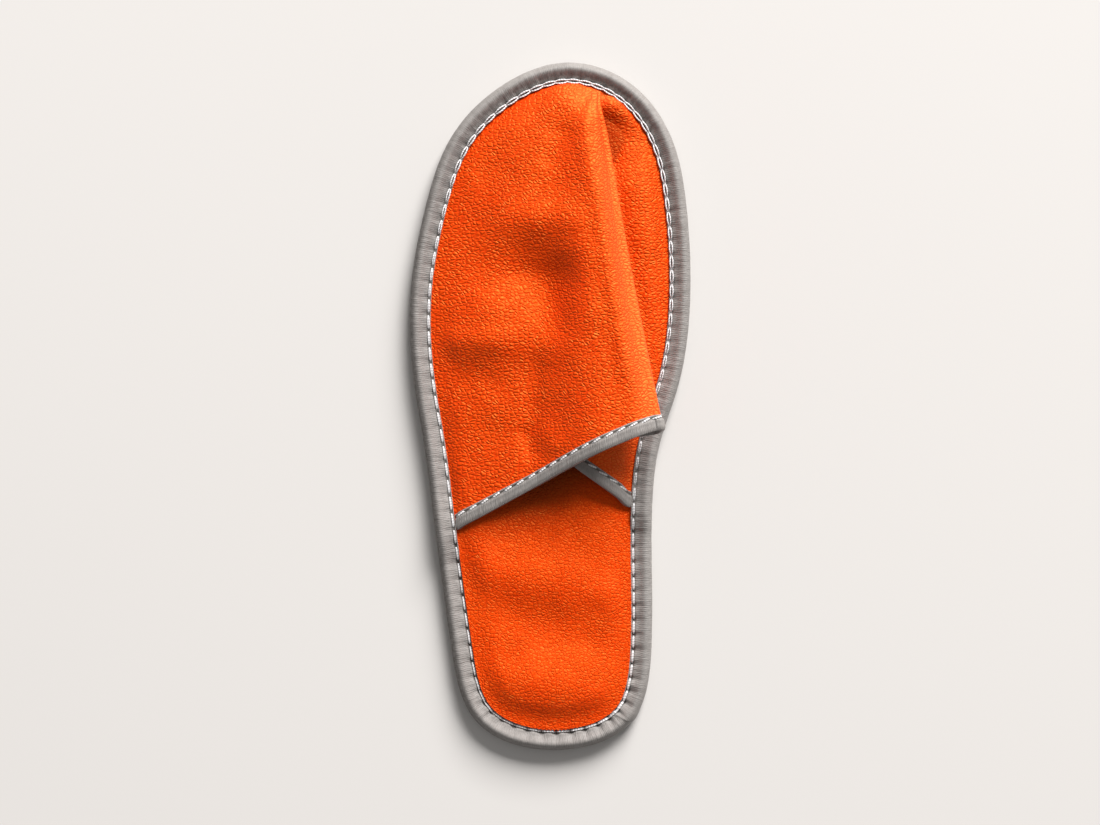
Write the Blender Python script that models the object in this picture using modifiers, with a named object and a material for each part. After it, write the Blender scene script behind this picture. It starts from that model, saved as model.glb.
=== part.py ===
"""Closed-toe hotel slipper, left foot: sole, padded insole, slack upper and folded-tape bindings.

Axes: +Y toe, +X medial side, +Z up; the tread stands on z = 0. Tables and working sizes are in millimetres.
"""
import bmesh
import bpy
import numpy as np

MM = 0.001
GAP = 0.3                     # air left between neighbouring pieces

# ---- last -------------------------------------------------------------------------------------
LENGTH = 285.0
HEEL_TIP_X = 2.5
TOE_TIP_X = 6.5
# section, share of the length from the heel, lateral edge x, medial edge x
LAST = (
    ("heel curve", 0.045, -31.6, 34.4),
    ("heel seat", 0.150, -41.2, 41.9),
    ("waist", 0.360, -49.3, 42.2),
    ("instep", 0.450, -52.7, 45.6),
    ("arch end", 0.520, -56.0, 52.1),
    ("ball", 0.670, -57.9, 58.0),
    ("joint", 0.790, -51.8, 56.4),
    ("toe root", 0.890, -41.4, 50.2),
    ("toe curve", 0.970, -18.6, 33.0),
)
SIDE_STATIONS = 48            # sections down each side of the last
DENSE = 1440

# ---- stack of layers, heights above the floor ---------------------------------------------------
SOLE_TOP = 3.6
REBATE_TOP = 1.3              # underside of the sole where the tape wraps below it
REBATE_INSET = 9.0
SOLE_INSET = 1.3
INSOLE_BOTTOM = SOLE_TOP + GAP
INSOLE_RIM = 5.4
INSOLE_INSET = 2.4
INSOLE_SEAM = 8.8
INSOLE_CROWN = 1.5            # padding above the sewn rim
PAD_SLOPE = 11.0              # distance over which the padding rises
WALL = 1.2                    # fabric of the upper
MARGIN = INSOLE_RIM + GAP + WALL / 2.0   # middle of the upper's sewn margin
MARGIN_INSETS = (2.6, 5.6)    # columns of the margin, from its cut edge
SEAM_INSET = 9.0              # where the upper leaves the binding

# padding waves of the insole:
# name, centre x, centre y, half length across, half length along, turn in degrees, height
WAVES = (
    ("instep roll", -3.0, -71.0, 34.0, 10.0, -13.0, 3.2),
    ("heel hollow", -3.0, -90.0, 30.0, 9.0, -13.0, -1.0),
    ("heel roll", -1.0, -115.0, 24.0, 11.0, -3.0, 2.6),
)
PAD_COLUMNS = 14

# ---- folded tape --------------------------------------------------------------------------------
COLLAR_TAPE = 0.7
COLLAR_STEPS = (0.0, 2.5, 5.0)    # places across the collar tape, from the cut edge of the fabric
COLLAR_NOSE = 0.7             # half width of the folded edge, as a share of the fabric's clearance
COLLAR_END = 0.15             # share of the first span of fabric left free at each seam
COLLAR_LIFT = COLLAR_TAPE + GAP + 0.1    # room for the collar tape beside the margin
LIFT_START = 2.0              # behind the throat, where the flange starts to climb over the fabric
LIFT_FORWARD = 20.0
LIFT_BACK = 14.0
# section of the sole tape: name, inset, height, 1 = height measured from the flange, 0 = from the floor
TAPE_SECTION = (
    ("lip top", 8.1, 0.75, 1),
    ("flange crown", 5.6, 1.15, 1),
    ("shoulder", 2.7, 0.95, 1),
    ("upper roll", 1.0, 0.25, 1),
    ("upper side", 0.15, -1.5, 1),
    ("lower side", 0.15, 2.3, 0),
    ("lower roll", 1.0, 0.75, 0),
    ("foot", 2.7, 0.1, 0),
    ("lower lip", 8.1, 0.1, 0),
    ("lower lip inside", 8.1, 1.0, 0),
    ("lower corner", 1.0, 1.0, 0),
    ("upper corner", 1.0, -1.0, 1),
    ("flange root", 2.0, 0.0, 1),
    ("lip", 8.3, 0.0, 1),
)

# ---- upper --------------------------------------------------------------------------------------
LEFT_THROAT_Y = -50.6         # cut edge of the fabric at the lateral seam
RIGHT_THROAT_Y = -41.2
APEX_X = 19.6                 # where the pleat runs into the toe seam
APEX_SPREAD = 9.0             # length of toe seam, to each side, that gathers the pleat
GATHER = 0.82                 # station from which the lines fan out to their places in that seam
STATIONS = (0.0, 0.25, 0.5, 0.75, 0.9, 0.96, 1.0)
# plan of the fold lines, x at each station between throat and toe seam
PATHS = (
    ("trough", -9.0, -8.0, -8.0, 0.0, 8.0, 13.5),
    ("mountain", 45.7, 38.6, 31.9, 25.8, 21.9, 20.2),
    ("valley", -8.5, -4.0, 0.5, 8.0, 19.0, 19.6),
)
# share of the gathered toe seam, lateral to medial, at which each line ends
SEAM_PLACES = (
    0.09, 0.18, 0.28, 0.37, 0.45, 0.50, 0.53, 0.56, 0.59, 0.61, 0.63, 0.67, 0.72, 0.82, 0.92)
# lengthwise lines of the fabric from the lateral to the medial seam:
# name, throat x, y and height above the margin, then heights at stations 1 to 5
LINES = (
    ("lateral rise", -36.0, -48.9, 2.4, 1.2, 1.2, 2.0, 2.8, 2.8),
    ("lateral crown", -29.0, -45.2, 4.2, 3.2, 3.3, 5.4, 6.0, 4.6),
    ("lateral slope", -19.0, -39.7, 6.6, 6.2, 7.3, 8.8, 8.2, 6.0),
    ("trough", -9.0, -34.2, 8.8, 9.2, 10.0, 10.8, 9.6, 7.0),
    ("crest", 26.5, -15.4, 21.6, 18.9, 17.0, 14.3, 10.9, 7.2),
    ("shoulder", 37.2, -11.2, 20.8, 17.9, 15.5, 12.6, 9.5, 6.7),
    ("mountain top", 43.5, -9.4, 18.6, 15.7, 12.7, 10.1, 7.8, 5.8),
    ("mountain", 45.7, -9.2, 16.6, 13.8, 10.9, 8.5, 6.4, 5.0),
    ("mountain under", 43.5, -10.9, 14.6, 11.9, 9.1, 6.9, 4.8, 3.4),
    ("middle layer", 17.0, -11.4, 14.8, 12.0, 9.0, 6.8, 4.0, 2.8),
    ("valley top", -6.5, -11.4, 6.6, 7.2, 6.0, 5.4, 3.2, 2.0),
    ("valley", -8.5, -11.8, 5.0, 5.6, 4.5, 3.9, 2.2, 1.6),
    ("valley under", -6.5, -13.8, 3.4, 4.0, 3.0, 2.6, 1.9, 2.1),
    ("medial web", 14.0, -27.4, 8.8, 7.4, 5.8, 4.4, 2.2, 3.4),
    ("medial rise", 27.8, -37.2, 4.8, 3.6, 2.8, 2.2, 1.5, 2.4),
)
# soft ridges and troughs of the fabric, laid out like the padding waves
CREASES = (
    ("lateral ridge", -31.0, 26.0, 18.0, 6.5, -2.0, 2.6),
    ("lateral bulge", -28.0, 37.0, 15.0, 13.0, -12.0, 2.8),
    ("hollow front", -7.0, 53.0, 17.0, 11.0, -6.0, -3.4),
    ("hollow side", -1.0, 42.0, 6.5, 12.0, 0.0, -2.6),
    ("plateau", -8.0, 77.0, 17.0, 8.0, 0.0, 1.4),
)
CREASE_CALM = 12.0            # no crease nearer than this to the lateral seam
CREASE_THROAT = 0.1           # nor before this station
CREASE_EDGE = 1.5             # nor within this many lines of the end of the top layer
TOP_LAYER = 7.0               # lines up to the mountain fold's upper shoulder
THROAT_FADE = 8               # how soon the shape of the throat gives way to straight runs of fabric
OPEN_AT = -2.0                # lead of the mountain fold over the valley fold where the pleat is open
FOLDED_OVER = 9.0             # further lead that lays it fully in three layers
SEAM_RISE = 0.35              # slope of the fabric where it leaves the binding
FULLNESS = 1.12               # roundness of the curve between two lines
FOLD_DROOP = 0.25             # how far the upper face looks down as it runs into the mountain fold
VALLEY_TURN = 1.2             # how hard the lower face turns up out of the open valley
SPANS = (2, 3, 3, 3, 4, 3, 2, 3, 3, 2, 2, 3, 3, 3, 3, 2)   # columns of fabric between two lines
ROWS = (0.0, 0.02, 0.045, 0.08, 0.125, 0.175, 0.225, 0.275, 0.325, 0.375, 0.425, 0.475, 0.525,
        0.575, 0.625, 0.675, 0.725, 0.775, 0.82, 0.86, 0.893, 0.92, 0.945, 0.965, 0.983, 1.0)


# ---- curves ---------------------------------------------------------------------------------------
def slopes(knots, values, closed=False):
    """Derivatives of the smooth cubic through the values; natural ends unless closed."""
    count = len(values)
    matrix = np.zeros((count, count))
    right = np.zeros_like(values)
    step = np.diff(knots)
    for i in range(count):
        if closed or 0 < i < count - 1:
            before, after = step[(i - 1) % len(step)], step[i % len(step)]
            last, following = values[i - 1], values[(i + 1) % count]
            matrix[i, i - 1] += after
            matrix[i, i] += 2.0 * (before + after)
            matrix[i, (i + 1) % count] += before
            rise = after * (values[i] - last) / before + before * (following - values[i]) / after
            right[i] = 3.0 * rise
        else:
            j = 1 if i == 0 else count - 2
            matrix[i, i] = 2.0
            matrix[i, j] = 1.0
            right[i] = 3.0 * (values[j] - values[i]) / (knots[j] - knots[i])
    return np.linalg.solve(matrix, right)


def hermite(t, start, start_slope, end, end_slope):
    """Cubic between two values, t from 0 to 1."""
    rest = 1.0 - t
    return ((1.0 + 2.0 * t) * rest ** 2 * start + t * rest ** 2 * start_slope
            + t * t * (3.0 - 2.0 * t) * end + t * t * (t - 1.0) * end_slope)


def through(knots, values, at):
    """Smooth cubic through the values at the knots, read at one place."""
    knots = np.asarray(knots, float)
    values = np.asarray(values, float)
    slope = slopes(knots, values)
    i = int(np.clip(np.searchsorted(knots, at, side="right") - 1, 0, len(knots) - 2))
    step = knots[i + 1] - knots[i]
    return hermite((at - knots[i]) / step, values[i], step * slope[i], values[i + 1], step * slope[i + 1])


def smooth(value):
    value = np.clip(value, 0.0, 1.0)
    return value * value * (3.0 - 2.0 * value)


def mound(row, x, y):
    """A soft ridge or trough: 1 at its centre line, 0 well away from it."""
    _, centre_x, centre_y, half_across, half_along, turn, height = row
    angle = np.radians(turn)
    across = (x - centre_x) * np.cos(angle) + (y - centre_y) * np.sin(angle)
    along = (y - centre_y) * np.cos(angle) - (x - centre_x) * np.sin(angle)
    return height * np.exp(-(across / half_across) ** 2 - (along / half_along) ** 2)


# ---- outline of the last ---------------------------------------------------------------------------
def make_outline():
    """Dense closed outline from the heel tip up the medial side: points, outward normals, arc shares."""
    medial = [(right, (share - 0.5) * LENGTH) for _, share, _, right in LAST]
    lateral = [(left, (share - 0.5) * LENGTH) for _, share, left, _ in reversed(LAST)]
    keys = [(HEEL_TIP_X, -LENGTH / 2.0)] + medial + [(TOE_TIP_X, LENGTH / 2.0)] + lateral
    keys = np.array(keys)
    following = np.roll(keys, -1, axis=0)
    knots = np.concatenate([[0.0], np.cumsum(np.linalg.norm(following - keys, axis=1))])
    slope = slopes(knots, keys, closed=True)
    points = []
    for t in np.linspace(0.0, knots[-1], DENSE, endpoint=False):
        i = int(np.searchsorted(knots, t, side="right")) - 1
        step = knots[i + 1] - knots[i]
        j = (i + 1) % len(keys)
        points.append(hermite((t - knots[i]) / step, keys[i], step * slope[i], keys[j], step * slope[j]))
    points = np.array(points)
    tangent = np.roll(points, -1, axis=0) - np.roll(points, 1, axis=0)
    tangent /= np.linalg.norm(tangent, axis=1)[:, None]
    normals = np.stack([tangent[:, 1], -tangent[:, 0]], axis=1)
    chords = np.linalg.norm(np.roll(points, -1, axis=0) - points, axis=1)
    arc = np.concatenate([[0.0], np.cumsum(chords)])
    return points, normals, arc / arc[-1], arc[-1]


OUTLINE, NORMALS, ARC, PERIMETER = make_outline()
TOE_SHARE = ARC[int(np.argmax(OUTLINE[:, 1]))]


def edge(share, inset):
    """Plan point at an arc share of the outline, moved inwards."""
    share = share % 1.0
    wrapped = np.concatenate([OUTLINE, OUTLINE[:1]])
    outward = np.concatenate([NORMALS, NORMALS[:1]])
    point = np.array([np.interp(share, ARC, wrapped[:, k]) for k in (0, 1)])
    normal = np.array([np.interp(share, ARC, outward[:, k]) for k in (0, 1)])
    return point - inset * normal / np.linalg.norm(normal)


def share_where(axis, value, start, end):
    """Arc share between two shares where the seam line crosses a value of x (axis 0) or y (axis 1)."""
    low, high = start, end
    side = edge(low, SEAM_INSET)[axis] > value
    for _ in range(50):
        middle = 0.5 * (low + high)
        if (edge(middle, SEAM_INSET)[axis] > value) == side:
            low = middle
        else:
            high = middle
    return 0.5 * (low + high)


HEEL_ZONE = 0.03              # part of the outline taken up by the curve of the heel
TOE_ZONE = 0.12               # and by half the curve of the toe
LEFT_THROAT = share_where(1, LEFT_THROAT_Y, 1.0 - HEEL_ZONE, TOE_SHARE + TOE_ZONE)
RIGHT_THROAT = share_where(1, RIGHT_THROAT_Y, HEEL_ZONE, TOE_SHARE - TOE_ZONE)
APEX = share_where(0, APEX_X, TOE_SHARE - 0.5 * TOE_ZONE, TOE_SHARE)
APEX_LEFT = APEX + APEX_SPREAD / PERIMETER
APEX_RIGHT = APEX - APEX_SPREAD / PERIMETER


def ring_shares():
    """Arc shares of the shared stations: up the medial side, then back down the lateral side."""
    up = np.linspace(0.0, TOE_SHARE, SIDE_STATIONS + 1)
    down = np.linspace(TOE_SHARE, 1.0, SIDE_STATIONS + 1)
    return np.concatenate([up[:-1], down[:-1]])


def throat_lift(share):
    """Extra height of the seam where the throat tape ends in it, 0 to 1."""
    forward = min(share - RIGHT_THROAT, LEFT_THROAT - share) * PERIMETER
    if forward >= 0.0:
        return float(1.0 - smooth(forward / LIFT_FORWARD))
    return float(1.0 - smooth(-forward / LIFT_BACK))


def flange_height(share):
    """Underside of the binding's top flange."""
    forward = min(share - RIGHT_THROAT, LEFT_THROAT - share) * PERIMETER
    sewn = float(smooth(1.0 + (forward + LIFT_START) / LIFT_BACK))
    return INSOLE_RIM + GAP + sewn * (WALL + GAP) + COLLAR_LIFT * throat_lift(share)


# ---- mesh helpers -----------------------------------------------------------------------------------
def clear_scene():
    for item in list(bpy.data.objects):
        bpy.data.objects.remove(item, do_unlink=True)


def material(name, colour, roughness):
    made = bpy.data.materials.new(name)
    made.use_nodes = True
    shader = made.node_tree.nodes["Principled BSDF"]
    shader.inputs["Base Color"].default_value = (*colour, 1.0)
    shader.inputs["Roughness"].default_value = roughness
    shader.inputs["Metallic"].default_value = 0.0
    return made


def add_piece(name, collection, points, faces, look):
    """One smooth-shaded mesh object from points in millimetres; coincident points are welded."""
    mesh = bpy.data.meshes.new(name)
    mesh.from_pydata([tuple(MM * p) for p in np.asarray(points, float)], [], faces)
    piece = bpy.data.objects.new(name, mesh)
    collection.objects.link(piece)
    mesh.materials.append(look)
    weld(mesh)
    mesh.shade_smooth()
    return piece


def weld(mesh):
    work = bmesh.new()
    work.from_mesh(mesh)
    bmesh.ops.remove_doubles(work, verts=work.verts, dist=0.00001)
    bmesh.ops.dissolve_degenerate(work, edges=work.edges, dist=0.000005)
    bmesh.ops.recalc_face_normals(work, faces=work.faces)
    work.to_mesh(mesh)
    work.free()


def strip_faces(first, second, count):
    """Quads between two closed rings of points."""
    return [(first + i, first + (i + 1) % count, second + (i + 1) % count, second + i)
            for i in range(count)]


# ---- sole and insole --------------------------------------------------------------------------------
def ring(inset, height):
    return np.array([[*edge(s, inset), height] for s in ring_shares()])


def crown(x, y, rim_distance):
    """Height of the padding over the sewn rim."""
    full = smooth(rim_distance / PAD_SLOPE)
    rise = INSOLE_CROWN
    for row in WAVES:
        rise = rise + mound(row, x, y)
    return full * rise


def pad_grid(first_ring, columns):
    """Points of the padded top, section by section from heel to toe, inside the given ring."""
    count = len(first_ring)
    half = count // 2
    grid = []
    for j in range(half + 1):
        right = first_ring[j]
        left = first_ring[(count - j) % count]
        for k in range(columns + 1):
            point = right + (left - right) * (k / columns)
            near = np.min(np.linalg.norm(first_ring[:, :2] - point[:2], axis=1))
            grid.append([point[0], point[1], point[2] + crown(point[0], point[1], near)])
    faces = []
    width = columns + 1
    for j in range(half):
        for k in range(columns):
            a = j * width + k
            faces.append((a, a + 1, a + width + 1, a + width))
    return np.array(grid), faces


def plate(name, collection, insets, bottom, top):
    """Flat sheet extruded from one outline of the last, or from two with the inner one a hole."""
    outline = bpy.data.curves.new(name, "CURVE")
    outline.dimensions = "2D"
    outline.fill_mode = "BOTH"
    outline.extrude = 0.5 * (top - bottom) * MM
    for inset in insets:
        points = ring(inset, 0.0) * MM
        spline = outline.splines.new("POLY")
        spline.points.add(len(points) - 1)
        spline.points.foreach_set("co", np.column_stack([points, np.ones(len(points))]).ravel())
        spline.use_cyclic_u = True
    drawn = bpy.data.objects.new(name + "_outline", outline)
    mesh = bpy.data.meshes.new_from_object(drawn)
    mesh.name = name
    bpy.data.objects.remove(drawn)
    weld(mesh)
    piece = bpy.data.objects.new(name, mesh)
    piece.location.z = 0.5 * (top + bottom) * MM
    collection.objects.link(piece)
    return piece


def build_outsole(collection, cutters, look):
    """Tread sheet, cut back below its rim where the tape wraps under it."""
    piece = plate("outsole", collection, [SOLE_INSET], 0.0, SOLE_TOP)
    piece.data.materials.clear()
    piece.data.materials.append(look)
    rebate = plate("rebate_cutter", cutters, [-REBATE_TOP, REBATE_INSET], -REBATE_TOP, REBATE_TOP)
    rebate.hide_render = True
    rebate.display_type = "WIRE"
    cut = piece.modifiers.new("rebate", "BOOLEAN")
    cut.operation = "DIFFERENCE"
    cut.solver = "EXACT"
    cut.object = rebate
    return piece


def build_insole(collection, look):
    seam = ring(INSOLE_SEAM, INSOLE_RIM)
    rings = (ring(INSOLE_INSET, INSOLE_BOTTOM), ring(INSOLE_INSET, INSOLE_RIM), seam)
    count = len(seam)
    faces = [tuple(reversed(range(count)))]
    for i in range(2):
        faces += strip_faces(i * count, (i + 1) * count, count)
    top, top_faces = pad_grid(seam, PAD_COLUMNS)
    base = 3 * count
    faces += [tuple(base + k for k in face) for face in top_faces]
    return add_piece("insole", collection, np.concatenate(list(rings) + [top]), faces, look)


def build_sole_binding(collection, look):
    points = []
    faces = []
    section = len(TAPE_SECTION)
    shares = ring_shares()
    for share in shares:
        flange = flange_height(share)
        for _, inset, height, from_flange in TAPE_SECTION:
            points.append([*edge(share, inset), height + flange * from_flange])
    for i in range(len(shares)):
        a = i * section
        b = ((i + 1) % len(shares)) * section
        for k in range(section):
            n = (k + 1) % section
            faces.append((a + k, b + k, b + n, a + n))
    return add_piece("sole_binding", collection, points, faces, look)


# ---- upper ------------------------------------------------------------------------------------------
def seam_point(side_share, inset, height=0.0):
    lifted = MARGIN + COLLAR_LIFT * throat_lift(side_share) + height
    return np.array([*edge(side_share, inset), lifted])


LINE_NAMES = [row[0] for row in LINES]
ROW_OF = {row[0]: row for row in LINES}


def toe_place(name):
    """Plan point where a line meets the toe seam."""
    share = SEAM_PLACES[LINE_NAMES.index(name)]
    return edge(APEX_LEFT + (APEX_RIGHT - APEX_LEFT) * share, SEAM_INSET)


def fold_path(name, start_y, v):
    """Plan point of a fold line, v from 0 at the throat to 1 at the toe seam."""
    row = next(r for r in PATHS if r[0] == name)
    end = toe_place(name)
    x = through(STATIONS, list(row[1:]) + [end[0]], v)
    return np.array([x, start_y + (end[1] - start_y) * v])


def line_height(row, v):
    return through(STATIONS, list(row[3:]) + [0.0], v)


def unit(vector):
    return vector / max(np.linalg.norm(vector), 1e-9)


def side_of(path_name, start_y, v):
    """Level direction square to a fold line, pointing to the medial side."""
    step = 0.01
    low, high = max(v - step, 0.0), min(v + step, 1.0)
    run = unit(fold_path(path_name, start_y, high) - fold_path(path_name, start_y, low))
    return np.array([run[1], -run[0], 0.0])


STARTS = {name: ROW_OF[name][2] for name in ("trough", "mountain", "valley")}
ORIGIN = {name: fold_path(name, y, 0.0) for name, y in STARTS.items()}
LEFT_START = edge(LEFT_THROAT, SEAM_INSET)
RIGHT_START = edge(RIGHT_THROAT, SEAM_INSET)
# which folds or seams the lines between them follow
RAILS = (
    ("left", ("lateral rise", "lateral crown", "lateral slope"), "trough"),
    ("trough", ("crest", "shoulder"), "mountain"),
    ("valley", ("middle layer",), "mountain"),
    ("valley", ("medial web", "medial rise"), "right"),
)


def seam_shares(v):
    left = LEFT_THROAT + (APEX_LEFT - LEFT_THROAT) * v
    right = RIGHT_THROAT + (APEX_RIGHT - RIGHT_THROAT) * v
    return left, right


def plan_points(v):
    """Plan place of every line at one station: the folds on their paths, the rest in between them."""
    left, right = (edge(share, SEAM_INSET) for share in seam_shares(v))
    plan = {name: fold_path(name, y, v) for name, y in STARTS.items()}
    rails = dict(plan, left=left, right=right)
    starts = dict(ORIGIN, left=LEFT_START, right=RIGHT_START)
    fade = (1.0 - v) ** THROAT_FADE
    points = dict(plan)
    for near_name, names, far_name in RAILS:
        near, far, near_start = rails[near_name], rails[far_name], starts[near_name]
        reach = starts[far_name] - near_start
        for name in names:
            place = np.array(ROW_OF[name][1:3]) - near_start
            share = np.dot(place, reach) / np.dot(reach, reach)
            points[name] = near + (far - near) * share + (place - reach * share) * fade
    for fold, sign in (("mountain", -1.0), ("valley", 1.0)):
        side, side_start = (side_of(fold, STARTS[fold], at)[:2] for at in (v, 0.0))
        radius = abs(line_height(ROW_OF[fold + " top"], v) - line_height(ROW_OF[fold], v))
        radius_start = abs(ROW_OF[fold + " top"][3] - ROW_OF[fold][3])
        for part in (" top", " under"):
            shift = np.array(ROW_OF[fold + part][1:3]) - ORIGIN[fold] - sign * radius_start * side_start
            points[fold + part] = plan[fold] + sign * radius * side + shift * fade
    # near the toe seam the pleat opens out and its middle layer turns into a plain slope
    folded = folded_share(plan)
    slope = plan["valley"] - plan["mountain"]
    for name, part in (("mountain under", 0.25), ("middle layer", 0.5), ("valley top", 0.75)):
        points[name] = folded * points[name] + (1.0 - folded) * (plan["mountain"] + slope * part)
    return points


def folded_share(plan):
    """1 where the pleat lies in three layers, 0 where it has opened out near the toe seam."""
    return float(smooth((plan["mountain"][0] - plan["valley"][0] - OPEN_AT) / FOLDED_OVER))


TOE_POINTS = plan_points(1.0)


def section_keys(v):
    """Points of the fabric across the foot at one station, from the lateral seam to the medial seam."""
    plan = plan_points(v)
    gather = float(smooth((v - GATHER) / (1.0 - GATHER)))
    left_share, right_share = seam_shares(v)
    keys = [seam_point(left_share, SEAM_INSET)]
    for row in LINES:
        place = plan[row[0]] + (toe_place(row[0]) - TOE_POINTS[row[0]]) * gather
        keys.append(np.array([*place, MARGIN + line_height(row, v)]))
    keys.append(seam_point(right_share, SEAM_INSET))
    return np.array(keys), folded_share(plan), gather ** 2


def section_tangents(v, keys, folded, gather):
    """Unit directions of the fabric at those points."""
    count = len(keys)
    tangents = np.zeros_like(keys)
    for i in range(1, count - 1):
        before, after = keys[i] - keys[i - 1], keys[i + 1] - keys[i]
        tangents[i] = unit(unit(before) * np.linalg.norm(after) + unit(after) * np.linalg.norm(before))
    left, right = seam_shares(v)
    leaving = np.array([*(edge(left, SEAM_INSET + 1.0) - keys[0][:2]), SEAM_RISE])
    landing = np.array([*(keys[-1][:2] - edge(right, SEAM_INSET + 1.0)), -SEAM_RISE])
    tangents[0] = unit(unit(leaving) * (1.0 - gather) + unit(keys[1] - keys[0]) * gather)
    tangents[-1] = unit(unit(landing) * (1.0 - gather) + unit(keys[-1] - keys[-2]) * gather)
    place = {name: i + 1 for i, name in enumerate(LINE_NAMES)}
    down = np.array([0.0, 0.0, -1.0])
    spread = unit(keys[place["valley"]] - keys[place["mountain"]])
    mountain, valley = (side_of(fold, STARTS[fold], v) for fold in ("mountain", "valley"))
    fixed = {
        "mountain top": (mountain + FOLD_DROOP * down, mountain + FOLD_DROOP * down),
        "mountain": (down, spread),
        "mountain under": (-mountain, spread),
        "valley top": (-valley, spread),
        "valley": (down, spread + VALLEY_TURN * valley),
        "valley under": (valley, valley),
    }
    for name, (when_folded, when_open) in fixed.items():
        shaped = unit(folded * unit(when_folded) + (1.0 - folded) * unit(when_open))
        tangents[place[name]] = unit(shaped * (1.0 - gather) + tangents[place[name]] * gather)
    return tangents


def section_curve(v):
    """Function of a column coordinate giving points across the fabric at station v."""
    keys, folded, gather = section_keys(v)
    tangents = section_tangents(v, keys, folded, gather)
    chords = np.linalg.norm(np.diff(keys, axis=0), axis=1)

    def at(u):
        i = int(min(max(np.floor(u), 0), len(keys) - 2))
        pull = FULLNESS * chords[i]
        point = hermite(u - i, keys[i], pull * tangents[i], keys[i + 1], pull * tangents[i + 1])
        if u < TOP_LAYER:
            calm = smooth(np.linalg.norm(point - keys[0]) / CREASE_CALM)
            calm *= smooth((TOP_LAYER - u) / CREASE_EDGE) * smooth(v / CREASE_THROAT)
            point[2] += calm * sum(mound(row, point[0], point[1]) for row in CREASES)
        return point

    return at


def columns():
    """Column coordinates of the fabric between the two seams."""
    places = []
    for i, count in enumerate(SPANS):
        places += [i + k / count for k in range(count)]
    return places + [float(len(SPANS))]


def sheet_row(v):
    """All points of the middle surface at one station, margins included."""
    curve = section_curve(v)
    left_share, right_share = seam_shares(v)
    left = [seam_point(left_share, inset) for inset in MARGIN_INSETS]
    right = [seam_point(right_share, inset) for inset in reversed(MARGIN_INSETS)]
    return np.array(left + [curve(u) for u in columns()] + right)


def toe_margin_row(inset):
    """Margin of the gathered toe seam, in line with the last station."""
    shares = [0.0] + list(SEAM_PLACES) + [1.0]
    places = [APEX_LEFT + (APEX_RIGHT - APEX_LEFT) * s for s in shares]
    middle = [seam_point(np.interp(u, range(len(places)), places), inset) for u in columns()]
    left = [seam_point(APEX_LEFT, min(inset, side)) for side in MARGIN_INSETS]
    right = [seam_point(APEX_RIGHT, min(inset, side)) for side in reversed(MARGIN_INSETS)]
    return np.array(left + middle + right)


def sheet_normals(grid):
    """Unit normals of a grid of points, outer face of the fabric positive."""
    along = np.gradient(grid, axis=0)
    across = np.gradient(grid, axis=1)
    normal = np.cross(across, along)
    size = np.linalg.norm(normal, axis=2)[:, :, None]
    return normal / np.maximum(size, 1e-9)


def build_upper(collection, look):
    """One sheet of fabric through every station, given its thickness by Solidify."""
    toe_margin = [toe_margin_row(inset) for inset in reversed(MARGIN_INSETS)]
    grid = np.array([sheet_row(v) for v in ROWS] + toe_margin)
    rows, width = grid.shape[:2]
    faces = []
    for j in range(rows - 1):
        for i in range(width - 1):
            a = j * width + i
            faces.append((a, a + 1, a + width + 1, a + width))
    piece = add_piece("upper", collection, grid.reshape(-1, 3), faces, look)
    wall = piece.modifiers.new("wall", "SOLIDIFY")
    wall.thickness = WALL * MM
    wall.offset = 0.0
    wall.use_even_offset = True
    return piece


def build_collar_binding(collection, look):
    """Tape folded over the throat edge: the same columns as the fabric, offset to both faces."""
    places = columns()
    places[0] += COLLAR_END
    places[-1] -= COLLAR_END
    step = 0.01
    first = section_curve(0.0)
    second = section_curve(step)
    edge_points = np.array([first(u) for u in places])
    ahead = np.array([second(u) for u in places])
    tangent = np.gradient(edge_points, axis=0)
    tangent /= np.linalg.norm(tangent, axis=1)[:, None]
    along = (ahead - edge_points) / step
    square = along - tangent * np.sum(along * tangent, axis=1)[:, None]
    speed = np.linalg.norm(square, axis=1)
    middle = [edge_points]
    for reach in COLLAR_STEPS[1:]:
        middle.append(np.array([section_curve(reach / speed[i])(u) for i, u in enumerate(places)]))
    middle = np.array(middle)
    normal = sheet_normals(middle)
    inward = square / speed[:, None]
    inner = WALL / 2.0 + GAP
    outer = inner + COLLAR_TAPE
    sections = []
    for i in range(len(places)):
        sheet, out = middle[:, i], normal[:, i]
        nose = edge_points[i] - inward[i] * (GAP + COLLAR_TAPE)
        bight = edge_points[i] - inward[i] * GAP
        outside = [*(sheet + out * outer)[::-1], nose + out[0] * inner * COLLAR_NOSE,
                   nose - out[0] * inner * COLLAR_NOSE, *(sheet - out * outer)]
        inside = [*(sheet - out * inner)[::-1], bight - out[0] * inner,
                  bight + out[0] * inner, *(sheet + out * inner)]
        sections.append(outside + inside)
    size = len(sections[0])
    faces = [tuple(range(size)), tuple((len(sections) - 1) * size + k for k in reversed(range(size)))]
    for i in range(len(sections) - 1):
        for k in range(size):
            n = (k + 1) % size
            faces.append((i * size + k, (i + 1) * size + k, (i + 1) * size + n, i * size + n))
    return add_piece("collar_binding", collection, np.array(sections).reshape(-1, 3), faces, look)


def main():
    clear_scene()
    collection = bpy.data.collections.new("hotel_slipper")
    cutters = bpy.data.collections.new("hotel_slipper_cutters")
    bpy.context.scene.collection.children.link(collection)
    bpy.context.scene.collection.children.link(cutters)
    tread = material("tread foam", (0.58, 0.58, 0.60), 0.45)
    fabric, tape = (0.81, 0.085, 0.01), (0.32, 0.29, 0.27)
    build_outsole(collection, cutters, tread)
    build_insole(collection, material("padded leather-look fabric", fabric, 0.5))
    build_upper(collection, material("leather-look fabric", fabric, 0.45))
    build_sole_binding(collection, material("woven tape", tape, 0.8))
    build_collar_binding(collection, material("woven collar tape", tape, 0.8))


main()
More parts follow.
